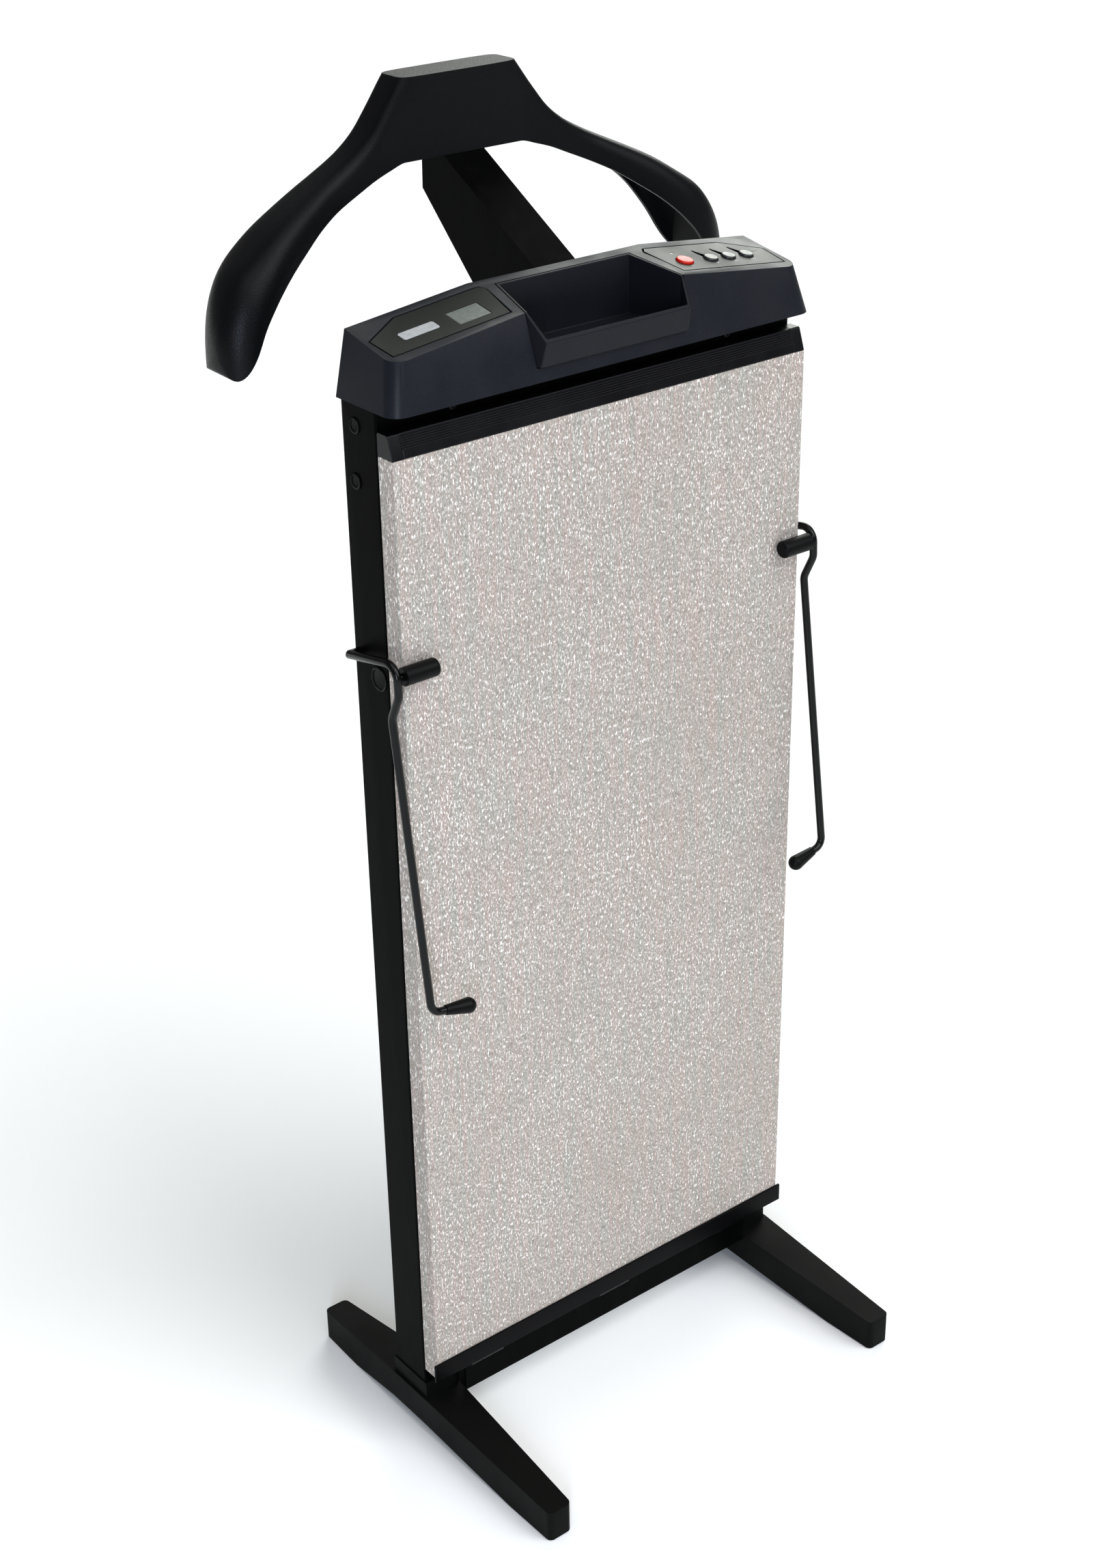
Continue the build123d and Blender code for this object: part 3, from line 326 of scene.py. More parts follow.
finish = {
    "laminate": makeLaminate("laminateSkin"),
    # one dark header plastic in two copies: the cover carries the front light's blue tint and the top panels
    # the top light's green tint, painted light
    "header": makeMoulded("headerPlasticBlueLitTint", (0.0115, 0.0130, 0.0180), 0.38, speckle=0.6, level=0.18, wear=0.1),
    "headerTop": makeMoulded("headerTopPlasticGreenLitTint", (0.0115, 0.0125, 0.0108), 0.42, speckle=0.3, level=0.27),
    "tray": makeMoulded("trayPlastic", (0.0090, 0.0100, 0.0140), 0.40, speckle=0.45, level=0.18),
    "black": makeMoulded("blackPlastic", (0.0022, 0.0022, 0.0026), 0.36, grain=900, speckle=0.2, level=0.08),
    "trim": makeMoulded("trimPlastic", (0.0030, 0.0030, 0.0042), 0.26, grain=900, speckle=0.2, level=0.26),
    "hanger": makeLeatherGrain("hangerPlastic", (0.0026, 0.0028, 0.0038), 0.33, level=0.15),
    "frame": makePainted("framePaint", (0.0011, 0.0013, 0.0011), 0.42, level=0.03),
    "foot": makeMoulded("footPlastic", (0.0038, 0.0042, 0.0037), 0.52, grain=800, speckle=0.3, level=0.08),
    "wire": makePainted("blackWire", (0.0014, 0.0014, 0.0014), 0.20, level=0.24, coat=0.1),
    "rubber": makeMoulded("blackRubber", (0.0018, 0.0018, 0.0020), 0.40, grain=1500, speckle=0.3, level=0.14),
    "steel": makeMetal("zincSteel", (0.55, 0.56, 0.58), 0.32),
    "darkScrew": makeMetal("blackenedSteel", (0.04, 0.04, 0.045), 0.38),
    "red": makeGlossy("redButton", (0.62, 0.016, 0.006), 0.30, level=0.35),
    "grey": makeGlossy("greyButton", (0.030, 0.033, 0.032), 0.28, level=0.5),
    # black that reflects nothing, for the scoop recesses: painted shade in the hollows
    "scoop": makeGlossy("scoopShadeBlack", (0.0008, 0.0008, 0.0009), 0.5, level=0.0),
    "window": makeGlossy("displayWindow", (0.15, 0.165, 0.15), 0.2, level=0.2),
    "lamp": makeGlossy("indicatorLamp", (0.020, 0.004, 0.004), 0.2),
    "label": makeGlossy("labelSilver", (0.46, 0.47, 0.48), 0.45, level=0.3),
    "legend": makeGlossy("legendWhite", (0.62, 0.62, 0.62), 0.5),
    "cloth": makeWeave("pressCloth", (0.42, 0.40, 0.36), (0.27, 0.255, 0.23), 0.0011),
    "stitch": makeWeave("stitchThread", (0.62, 0.60, 0.55), (0.4, 0.38, 0.34), 0.0004),
    "felt": makeFelt("woolFelt", (0.34, 0.32, 0.28)),
    "foam": makeFelt("paddingFoam", (0.45, 0.40, 0.28)),
    "silicone": makeMoulded("siliconeMat", (0.23, 0.05, 0.02), 0.6, grain=700, speckle=0.2),
    "fibreboard": makeFibreboard("rawFibreboard", (0.24, 0.155, 0.085)),
    "rearSheet": makePainted("rearSheet", (0.0075, 0.0078, 0.0075), 0.5, level=0.35),
    "circuit": makeGlossy("circuitGreen", (0.012, 0.085, 0.03), 0.35),
}
print("materials ready")

# shared mesh tools


def meshFrom(name, bm, material, smoothAngle=40):
    mesh = bpy.data.meshes.new(name)
    bm.to_mesh(mesh)
    bm.free()
    mesh.materials.append(material)
    mesh.shade_smooth()
    mesh.set_sharp_from_angle(angle=math.radians(smoothAngle))
    return link(bpy.data.objects.new(name, mesh))


def settle(obj):
    # bakes the modifiers into a plain mesh
    bpy.context.view_layer.update()
    baked = bpy.data.meshes.new_from_object(obj.evaluated_get(bpy.context.evaluated_depsgraph_get()))
    obj.modifiers.clear()
    obj.data = baked
    return obj


def addBevel(obj, width, segments=3, angle=32):
    bevel = obj.modifiers.new("edges", "BEVEL")
    bevel.width = width
    bevel.segments = segments
    bevel.limit_method = "ANGLE"
    bevel.angle_limit = math.radians(angle)
    bevel.harden_normals = True
    return obj


def finished(obj, body, slot, *stoodFor):
    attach(obj, body)
    if stoodFor:
        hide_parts(*stoodFor)
    return obj


def bodyOf(node):
    return next(name for name, members in frame["record"]["behaviour"]["bodies"].items() if node in members)


slotOf = {part["node"]: part["material_slot"] for part in frame["record"]["subparts"]}


def roundedCopy(node, name, material, width, segments=3):
    # the CAD shape with its seams welded and its edges broken
    bm = bmesh.new()
    bm.from_mesh(nodes[node].data)
    bmesh.ops.remove_doubles(bm, verts=bm.verts, dist=0.000002)
    bmesh.ops.dissolve_limit(bm, angle_limit=math.radians(0.5), verts=bm.verts, edges=bm.edges)
    obj = meshFrom(name, bm, material)
    addBevel(obj, width, segments)
    settle(obj)
    return finished(obj, bodyOf(node), slotOf[node], node)

# node trees that grow repeated details


def newTree(name, sizes):
    tree = bpy.data.node_groups.new(name, "GeometryNodeTree")
    tree.interface.new_socket("Geometry", in_out="INPUT", socket_type="NodeSocketGeometry")
    for label, value in sizes.items():
        kind = "NodeSocketInt" if isinstance(value, int) else "NodeSocketFloat"
        tree.interface.new_socket(label, in_out="INPUT", socket_type=kind)
    tree.interface.new_socket("Material", in_out="INPUT", socket_type="NodeSocketMaterial")
    tree.interface.new_socket("Geometry", in_out="OUTPUT", socket_type="NodeSocketGeometry")
    return tree, tree.nodes.new("NodeGroupInput").outputs


def closeTree(tree, given, instances):
    real = addNode(tree, "GeometryNodeRealizeInstances", {"Geometry": instances}).outputs[0]
    inputs = {"Geometry": real, "Material": given["Material"]}
    worn = addNode(tree, "GeometryNodeSetMaterial", inputs).outputs[0]
    addNode(tree, "NodeGroupOutput", {"Geometry": worn})
    return tree


def moved(tree, geometry, place=(0, 0, 0), turn=(0, 0, 0), scale=(1, 1, 1)):
    inputs = {"Geometry": geometry, "Translation": place, "Rotation": turn, "Scale": scale}
    return addNode(tree, "GeometryNodeTransform", inputs).outputs[0]


def alongZ(tree, height):
    return addNode(tree, "ShaderNodeCombineXYZ", {"Z": height}).outputs[0]


def drum(tree, radius, height, lift, sides=32):
    inputs = {"Vertices": sides, "Radius": radius, "Depth": height}
    body = addNode(tree, "GeometryNodeMeshCylinder", inputs).outputs["Mesh"]
    return moved(tree, body, alongZ(tree, lift))


def cutAway(tree, body, *cutters):
    node = addNode(tree, "GeometryNodeMeshBoolean", {"Mesh 1": body}, operation="DIFFERENCE", solver="EXACT")
    for cutter in cutters:
        tree.links.new(cutter, node.inputs["Mesh 2"])
    return node.outputs["Mesh"]


def onPoints(tree, points, shape, turn):
    shape = moved(tree, shape, turn=turn)
    inputs = {"Points": points, "Instance": shape}
    return addNode(tree, "GeometryNodeInstanceOnPoints", inputs).outputs[0]


def screwTree(name, sizes, turn):
    # a pan head with a cross recess, on a plain shank
    tree, given = newTree(name, sizes)
    height = given["Head Height"]
    half = combine(tree, "MULTIPLY", height, 0.5)
    head = drum(tree, given["Head Radius"], height, half)
    reach = combine(tree, "MULTIPLY", given["Head Radius"], 1.15)
    inputs = {"X": reach, "Y": given["Slot Width"], "Z": height}
    slotSize = addNode(tree, "ShaderNodeCombineXYZ", inputs).outputs[0]
    slot = addNode(tree, "GeometryNodeMeshCube", {"Size": slotSize}).outputs["Mesh"]
    slot = moved(tree, slot, alongZ(tree, height))
    head = cutAway(tree, head, slot, moved(tree, slot, turn=(0, 0, math.pi / 2)))
    length = given["Shank Length"]
    shank = drum(tree, given["Shank Radius"], length, combine(tree, "MULTIPLY", length, -0.5), 16)
    both = addNode(tree, "GeometryNodeJoinGeometry")
    for part in (head, shank):
        tree.links.new(part, both.inputs[0])
    return closeTree(tree, given, onPoints(tree, given["Geometry"], both.outputs[0], turn))


def capTree(name, sizes, turn):
    # a round cap with a dished middle and a raised ring
    tree, given = newTree(name, sizes)
    height = given["Height"]
    body = drum(tree, given["Radius"], height, combine(tree, "MULTIPLY", height, 0.5), 48)
    dish = drum(tree, given["Dish Radius"], given["Dish Depth"], height, 48)
    return closeTree(tree, given, onPoints(tree, given["Geometry"], cutAway(tree, body, dish), turn))


def ribTree(name, sizes, rise):
    # round-backed ribs, one above another up a leaning face
    tree, given = newTree(name, sizes)
    start = addNode(tree, "ShaderNodeVectorMath", {0: rise}, operation="SCALE")
    tree.links.new(given["Pitch"], start.inputs["Scale"])
    inputs = {"Count": given["Count"], "Offset": start.outputs[0]}
    points = addNode(tree, "GeometryNodeMeshLine", inputs).outputs[0]
    span = addNode(tree, "ShaderNodeCombineXYZ", {"X": given["Length"]}).outputs[0]
    line = addNode(tree, "GeometryNodeCurvePrimitiveLine", {"End": span}).outputs[0]
    inputs = {"Resolution": 10, "Radius": given["Radius"]}
    ring = addNode(tree, "GeometryNodeCurvePrimitiveCircle", inputs).outputs[0]
    inputs = {"Curve": line, "Profile Curve": ring, "Fill Caps": True}
    bar = addNode(tree, "GeometryNodeCurveToMesh", inputs).outputs[0]
    spread = addNode(tree, "GeometryNodeInstanceOnPoints", {"Points": points, "Instance": bar}).outputs[0]
    return closeTree(tree, given, onPoints(tree, given["Geometry"], spread, (0, 0, 0)))


def stitchTree(name, sizes):
    # a running seam round a rectangle
    tree, given = newTree(name, sizes)
    inputs = {"Width": given["Width"], "Height": given["Length"]}
    seam = addNode(tree, "GeometryNodeCurvePrimitiveQuadrilateral", inputs).outputs[0]
    inputs = {"Curve": seam, "Length": given["Pitch"]}
    spots = addNode(tree, "GeometryNodeCurveToPoints", inputs, mode="LENGTH")
    inputs = {"Radius": given["Thread"], "Subdivisions": 1}
    thread = addNode(tree, "GeometryNodeMeshIcoSphere", inputs).outputs[0]
    thread = moved(tree, thread, scale=(1, 1, 4.2))
    inputs = {"Points": spots.outputs["Points"], "Instance": thread, "Rotation": spots.outputs["Rotation"]}
    row = addNode(tree, "GeometryNodeInstanceOnPoints", inputs).outputs[0]
    return closeTree(tree, given, onPoints(tree, given["Geometry"], row, (math.pi / 2, 0, 0)))


def grow(name, tree, sizes, points, material, edge=0.0):
    mesh = bpy.data.meshes.new(name)
    mesh.from_pydata(points, [], [])
    obj = link(bpy.data.objects.new(name, mesh))
    grown = obj.modifiers.new("grown", "NODES")
    grown.node_group = tree
    for item in tree.interface.items_tree:
        if item.in_out == "INPUT" and item.name in sizes:
            grown[item.identifier] = sizes[item.name]
        elif item.in_out == "INPUT" and item.name == "Material":
            grown[item.identifier] = material
    settle(obj)
    if edge:
        settle(addBevel(obj, edge, 2))
    obj.data.shade_smooth()
    obj.data.set_sharp_from_angle(angle=math.radians(35))
    return obj


def islands(node):
    # boxes of the separate solids in one node, as low and high corners
    bm = bmesh.new()
    bm.from_mesh(nodes[node].data)
    bmesh.ops.remove_doubles(bm, verts=bm.verts, dist=0.000002)
    boxes, seen = [], set()
    for first in bm.verts:
        if first in seen:
            continue
        group, queue = [], [first]
        seen.add(first)
        while queue:
            vert = queue.pop()
            group.append(vert.co.copy())
            for edge in vert.link_edges:
                other = edge.other_vert(vert)
                if other not in seen:
                    seen.add(other)
                    queue.append(other)
        boxes.append([[op(p[i] for p in group) for i in range(3)] for op in (min, max)])
    bm.free()
    return boxes


faceTurns = {"left": (0, -math.pi / 2, 0), "right": (0, math.pi / 2, 0), "front": (math.pi / 2, 0, 0),
             "back": (-math.pi / 2, 0, 0)}

screws = {
    "cover": {"Head Radius": 3.4 * mm, "Head Height": 1.8 * mm, "Shank Radius": 1.5 * mm,
              "Shank Length": 12 * mm, "Slot Width": 1.0 * mm},
    "rail": {"Head Radius": 3.2 * mm, "Head Height": 1.4 * mm, "Shank Radius": 1.6 * mm,
             "Shank Length": 8 * mm, "Slot Width": 0.9 * mm},
    "bracket": {"Head Radius": 4.6 * mm, "Head Height": 3.2 * mm, "Shank Radius": 2.5 * mm,
                "Shank Length": 13 * mm, "Slot Width": 1.4 * mm},
}


def makeScrews(name, kind, node, facing, look):
    # each head sits where the node's own screw has its seat
    sizes = screws[kind]
    seats = []
    for low, high in islands(node):
        seat = high[1] - sizes["Head Height"] if facing == "back" else low[1] + sizes["Head Height"]
        seats.append(((low[0] + high[0]) / 2, seat, (low[2] + high[2]) / 2))
    tree = screwTree(name, sizes, faceTurns[facing])
    obj = grow(name, tree, sizes, seats, finish[look], 0.25 * mm)
    return finished(obj, bodyOf(node), slotOf[node], node)


caps = {"height": 1.0 * mm, "ring": 1.7 * mm, "dish": 0.55 * mm, "edge": 0.22 * mm}


def makeCaps(node, look):
    for side, facing in ((-1, "left"), (1, "right")):
        spots, radius = [], 0
        for low, high in islands(node):
            if side * (low[0] + high[0]) > 0:
                edge = high[0] if side > 0 else low[0]
                radius = (high[2] - low[2]) / 2
                spots.append((edge - side * caps["height"], (low[1] + high[1]) / 2, (low[2] + high[2]) / 2))
        sizes = {"Radius": radius, "Height": caps["height"], "Dish Radius": radius - caps["ring"],
                 "Dish Depth": caps["dish"] * 2}
        name = facing + "".join(word.capitalize() for word in node.split("_"))
        obj = grow(name, capTree(name, sizes, faceTurns[facing]), sizes, spots, finish[look], caps["edge"])
        finished(obj, bodyOf(node), slotOf[node], node)


# the jacket hanger, one moulded shell from tip to tip

hanger = {  # mm out from the middle, with drops below the hanger's top and distances in front of its back
    "reach": 235.6, "armEnd": 207.7, "wall": 3.5, "arcPoints": 14,
    "crestDrop": [(0, -60), (30, -31), (45, -10.8), (53, 0), (67.6, 19.7), (82, 37.4), (96.6, 48.9),
                  (116, 59.5), (135, 68.5), (154.6, 77.6), (174, 87.3), (193, 99), (207.7, 108.5)],
    "edgeDrop": [(53, 60.2), (67.6, 64), (82, 68.7), (96.6, 75), (116, 83.5), (135, 93), (154.6, 105.6),
                 (174, 119.4), (193, 137), (207.7, 157)],
    "faceDepth": [(53, 32.5), (82, 34.5), (116, 38), (135, 43.5), (155, 50.8), (174, 58), (193, 64.8),
                  (207.7, 69)],
    "crestDepth": [(53, 16), (116, 19), (174, 33), (222, 43), (235.6, 50)],
    "squareness": [(53, 6), (67, 5.4), (82, 4.8), (116, 3.6), (174, 3), (235, 2.4)],
    "tip": {"crest": (0.65, 35.5), "edge": (1.9, -46.3), "face": (0.26, -26.2)},  # slope, then bulge
    "edgeTilt": 1.9, "faceTilt": 0.26, "rim": 0.6,
    "rearLift": [(53, 0), (116, 9), (174, 10), (208, 6), (235.6, 0)],
    "backEnd": 190.0, "web": (25, 1.5, 31.5, 5.0), "cavityEnd": 222.0,
}


def follow(points, at, endTilt=None):
    # a smooth line through the points that never overshoots them
    spans = [b[0] - a[0] for a, b in zip(points, points[1:])]
    slopes = [(b[1] - a[1]) / span for a, b, span in zip(points, points[1:], spans)]
    tilts = [0.0]
    for before, after in zip(slopes, slopes[1:]):
        tilts.append(2 * before * after / (before + after) if before * after > 0 else 0.0)
    tilts.append(slopes[-1] if endTilt is None else endTilt)
    if at <= points[0][0]:
        return points[0][1]
    for k, span in enumerate(spans):
        if at <= points[k + 1][0] or k == len(spans) - 1:
            t = min(1.0, (at - points[k][0]) / span)
            rise = t * t * (3 - 2 * t)
            lean = span * t * (1 - t) * (tilts[k] * (1 - t) - tilts[k + 1] * t)
            return points[k][1] + (points[k + 1][1] - points[k][1]) * rise + lean


def hangerStation(out):
    # the section's front, crest and back depths, then its crest and lower edge drops
    arm, reach = hanger["armEnd"], hanger["reach"]
    ridge, crest = follow(hanger["crestDepth"], out), follow(hanger["crestDrop"], out)
    face = follow(hanger["faceDepth"], out, hanger["faceTilt"])
    edge = follow(hanger["edgeDrop"], out, hanger["edgeTilt"])
    back = 0.0
    if out > arm:
        u = min(1.0, (out - arm) / (reach - arm))
        bulge = 1 - math.sqrt(max(0.0, 1 - u * u))
        crest, edge, face = (value + hanger["tip"][key][0] * (out - arm) + hanger["tip"][key][1] * bulge
                             for key, value in (("crest", crest), ("edge", edge), ("face", face)))
    if out > hanger["backEnd"]:
        v = min(1.0, (out - hanger["backEnd"]) / (reach - hanger["backEnd"]))
        back = 50 * (1 - math.sqrt(max(0.0, 1 - v * v)))
    return face, min(max(ridge, back), face), back, crest, edge


def hangerSection(x, backY, topZ, inset):
    out = abs(x)
    face, ridge, back, crest, edge = hangerStation(out)
    lift = follow(hanger["rearLift"], out)
    power = 2 / follow(hanger["squareness"], out)
    crest, face, back = crest + inset, face - inset, back + inset
    steps = [k * math.pi / 2 / (hanger["arcPoints"] - 1) for k in range(hanger["arcPoints"])]
    points = []
    for depth, low, angles in ((face, edge, steps), (back, edge - lift, steps[-2::-1])):
        low = max(low, crest)
        for angle in angles:
            across, up = max(0.0, math.cos(angle)) ** power, math.sin(angle) ** power
            points.append((x, backY - (ridge + (depth - ridge) * across), topZ - (low + (crest - low) * up)))
    return [Vector(p) * mm for p in points]


def hangerStops():
    arm, reach = hanger["armEnd"], hanger["reach"]
    flat = [k * 50 / 5 for k in range(6)] + [50 + k * 1.25 for k in range(1, 9)]
    sweep = [60 + (arm - 60) * k / 40 for k in range(1, 41)]
    tip = [arm + (reach - arm) * math.sin(k * math.pi / 40) for k in range(1, 21)]
    right = flat + sweep + tip
    return [-x for x in right[:0:-1]] + right


def cutFlat(bm, faces, height):
    # trims the shell level and closes the opening
    geometry = set(faces)
    for face in faces:
        geometry.update(face.verts, face.edges)
    cut = bmesh.ops.bisect_plane(bm, geom=list(geometry), plane_co=(0, 0, height), plane_no=(0, 0, 1),
                                 clear_outer=True)
    rim = [part for part in cut["geom_cut"] if isinstance(part, bmesh.types.BMEdge)]
    bmesh.ops.edgeloop_fill(bm, edges=rim)


def makeHanger():
    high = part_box("jacket_hanger")[1]
    backY, topZ = high[1] / mm, high[2] / mm
    stops = hangerStops()
    bm = bmesh.new()
    outer = [[bm.verts.new(p) for p in hangerSection(x, backY, topZ, 0)] for x in stops[1:-1]]
    tips = [bm.verts.new(sum(hangerSection(x, backY, topZ, 0), Vector()) / (2 * hanger["arcPoints"] - 1))
            for x in (stops[0], stops[-1])]
    skin = [bm.faces.new((a[k], a[k + 1], b[k + 1], b[k]))
            for a, b in zip(outer, outer[1:]) for k in range(len(a) - 1)]
    for ring, tip in ((outer[0], tips[0]), (outer[-1], tips[1])):
        for k in range(len(ring) - 1):
            bm.faces.new((ring[k], ring[k + 1], tip))
        bm.faces.new((ring[-1], ring[0], tip))
    cutFlat(bm, skin, topZ * mm)
    wall = hanger["wall"]
    inner = {x: [bm.verts.new(p) for p in hangerSection(x, backY, topZ, wall)]
             for x in stops[1:-1] if abs(x) <= hanger["cavityEnd"]}
    ceiling = []
    for x, after, a, b in zip(stops[1:], stops[2:], outer, outer[1:]):
        if x in inner and after in inner:
            c, d = inner[x], inner[after]
            ceiling += [bm.faces.new((c[k], d[k], d[k + 1], c[k + 1])) for k in range(len(c) - 1)]
            bm.faces.new((a[0], b[0], d[0], c[0]))
            bm.faces.new((a[-1], c[-1], d[-1], b[-1]))
        elif x in inner:
            bm.faces.new((a[0], b[0], b[-1], a[-1], inner[x][-1], inner[x][0]))
            bm.faces.new(inner[x])
        elif after in inner:
            bm.faces.new((a[0], b[0], inner[after][0], inner[after][-1], b[-1], a[-1]))
            bm.faces.new(inner[after])
        else:
            bm.faces.new((a[0], b[0], b[-1], a[-1]))
    cutFlat(bm, ceiling, (topZ - wall) * mm)
    half, nearBack, nearFace, thick = hanger["web"]
    floor = topZ - hanger["edgeDrop"][0][1]
    corners = [(x, backY - y, z) for x in (-half, half) for y in (nearBack, nearFace)
               for z in (floor, floor + thick)]
    web = [bm.verts.new(Vector(c) * mm) for c in corners]
    for face in ((0, 1, 3, 2), (4, 6, 7, 5), (0, 4, 5, 1), (2, 3, 7, 6), (0, 2, 6, 4), (1, 5, 7, 3)):
        bm.faces.new([web[k] for k in face])
    bmesh.ops.remove_doubles(bm, verts=bm.verts, dist=0.000005)
    bmesh.ops.recalc_face_normals(bm, faces=bm.faces)
    obj = settle(addBevel(meshFrom("jacketHanger", bm, finish["hanger"], 38), hanger["rim"] * mm, 2, 50))
    return finished(obj, bodyOf("jacket_hanger"), slotOf["jacket_hanger"], "jacket_hanger")


# ribbed trim on the top edge of the front board

trim = {
    "leanBack": 6.0 * mm, "edge": 0.9 * mm,
    "ribs": 6, "firstRib": 7.4 * mm, "pitch": 1.72 * mm, "ribRadius": 0.5 * mm, "sunk": 0.16 * mm,
}


def makeTrim():
    low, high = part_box("top_trim")
    outline = [(low[1], low[2]), (high[1], low[2]), (high[1], high[2]), (low[1] + trim["leanBack"], high[2])]
    bm = bmesh.new()
    ends = [[bm.verts.new((x, y, z)) for y, z in outline] for x in (low[0], high[0])]
    bm.faces.new(ends[0])
    bm.faces.new(ends[1][::-1])
    for k in range(4):
        j = (k + 1) % 4
        bm.faces.new((ends[0][k], ends[1][k], ends[1][j], ends[0][j]))
    bmesh.ops.recalc_face_normals(bm, faces=bm.faces)
    body = settle(addBevel(meshFrom("trimStrip", bm, finish["trim"]), trim["edge"], 4))
    finished(body, bodyOf("top_trim"), slotOf["top_trim"], "top_trim")
    height = high[2] - low[2]
    rise = Vector((0, trim["leanBack"], height)).normalized()
    outward = Vector((0, -rise.z, rise.y))
    start = Vector((low[0], low[1], low[2])) + rise * trim["firstRib"] - outward * trim["sunk"]
    sizes = {"Length": high[0] - low[0], "Count": trim["ribs"],
             "Pitch": trim["pitch"], "Radius": trim["ribRadius"]}
    ribs = grow("trimRibs", ribTree("trimRibs", sizes, rise), sizes, [start], finish["trim"])
    finished(ribs, bodyOf("top_trim"), slotOf["top_trim"])


# scoop plates carrying painted shade, legends and label on the header's sloping ends

marks = {
    "scoopReach": (-5.7, 15.5), "scoopWide": 3.1, "scoopThin": 0.75, "scoopDepth": (0.82, 0.25),
    "legendDrop": 9.4, "dotRadius": 0.55, "dotPitch": 1.9, "dotHeight": 0.12,
    "labelSpot": (-146.0, 3.2), "labelSize": (30.0, 10.0), "labelCut": 1.2, "labelHeight": 0.25,
    "labelEdge": 0.1, "sunk": 0.05,
}


def upperFace(node):
    mesh = nodes[node].data
    face = max((f for f in mesh.polygons if f.normal.z > 0.8), key=lambda f: f.area)
    return face.center / mm, face.normal.copy()


def plateOn(bm, plane, outline, top, bottom):
    # a flat piece between two heights over a sloping face, from an outline in plan
    origin, normal = plane
    rings = []
    for height in (bottom, top):
        ring = []
        for x, y in outline:
            z = origin.z - ((x - origin.x) * normal.x + (y - origin.y) * normal.y) / normal.z
            ring.append(bm.verts.new((Vector((x, y, z)) + normal * height) * mm))
        rings.append(ring)
    bm.faces.new(rings[0][::-1])
    bm.faces.new(rings[1])
    for k in range(len(outline)):
        j = (k + 1) % len(outline)
        bm.faces.new((rings[0][k], rings[0][j], rings[1][j], rings[1][k]))


def roundOutline(x, y, radius, sides=16):
    return [(x + radius * math.cos(2 * math.pi * k / sides), y + radius * math.sin(2 * math.pi * k / sides))
            for k in range(sides)]


def teardrop(x, y):
    # wide at the button, narrowing to a small round end
    reach = Vector(marks["scoopReach"])
    along = reach.normalized()
    side = Vector((along.y, -along.x))
    wide, thin = marks["scoopWide"], marks["scoopThin"]
    start, tip = Vector((x, y)), Vector((x, y)) + reach
    points = [start - side * wide, start + side * wide]
    for k in range(9):
        angle = math.pi * k / 8
        points.append(tip + side * thin * math.cos(angle) + along * (thin * math.sin(angle) - thin))
    return [tuple(p) for p in points]


def boxMiddle(node):
    low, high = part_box(node)
    return [(a + b) / 2 / mm for a, b in zip(low, high)]


def makeMarks():
    plane = upperFace("control_panel")
    scoops, dots = bmesh.new(), bmesh.new()
    bottom, top = marks["scoopDepth"]
    for number in range(4):
        node = f"timer_button_{number}" if number else "power_button"
        x, y = boxMiddle(node)[:2]
        spread = max(number, 1)
        # a black plate sunk in each scoop's recess stands for the recess floor and carries painted shade
        if number:
            plateOn(scoops, plane, teardrop(x, y), -top, -bottom)
        for k in range(spread):
            dotX = x + (k - (spread - 1) / 2) * marks["dotPitch"]
            outline = roundOutline(dotX, y - marks["legendDrop"], marks["dotRadius"])
            plateOn(dots, plane, outline, marks["dotHeight"], -marks["sunk"])
    for bm, name, look, slot in ((scoops, "scoopShadeInlays", "scoop", "black_plastic"),
                                 (dots, "legendDots", "legend", "button_grey")):
        bmesh.ops.recalc_face_normals(bm, faces=bm.faces)
        finished(meshFrom(name, bm, finish[look]), bodyOf("control_panel"), slot)
    plane = upperFace("left_panel")
    (x, y), (width, depth), cut = marks["labelSpot"], marks["labelSize"], marks["labelCut"]
    a, b = width / 2, depth / 2
    outline = [(x - a + cut, y - b), (x + a - cut, y - b), (x + a, y - b + cut), (x + a, y + b - cut),
               (x + a - cut, y + b), (x - a + cut, y + b), (x - a, y + b - cut), (x - a, y - b + cut)]
    bm = bmesh.new()
    plateOn(bm, plane, outline, marks["labelHeight"], -marks["sunk"])
    bmesh.ops.recalc_face_normals(bm, faces=bm.faces)
    plate = settle(addBevel(meshFrom("labelPlate", bm, finish["label"]), marks["labelEdge"] * mm, 2))
    finished(plate, bodyOf("left_panel"), "bright_steel")


# padding and cloth between the boards

layers = {
    "edgeSteps": (0, 0.5, 1.3, 2.6, 4.5, 8.0, 14.0), "columns": 14, "rows": 34, "seam": 0.3, "ripple": 0.1,
    "foamFill": 0.85, "feltFill": 0.7, "hem": 9.0, "stitchPitch": 4.4, "thread": 0.28,
}


def spacedLine(low, high, count):
    # even steps, drawn together at both ends
    ends = layers["edgeSteps"]
    inner = [low + ends[-1] + (high - low - 2 * ends[-1]) * k / count for k in range(1, count)]
    return [low + s for s in ends] + inner + [high - s for s in ends[::-1]]


def softEdge(distance, reach):
    t = min(1.0, max(0.0, distance / reach))
    return math.sqrt(1 - (1 - t) ** 2)


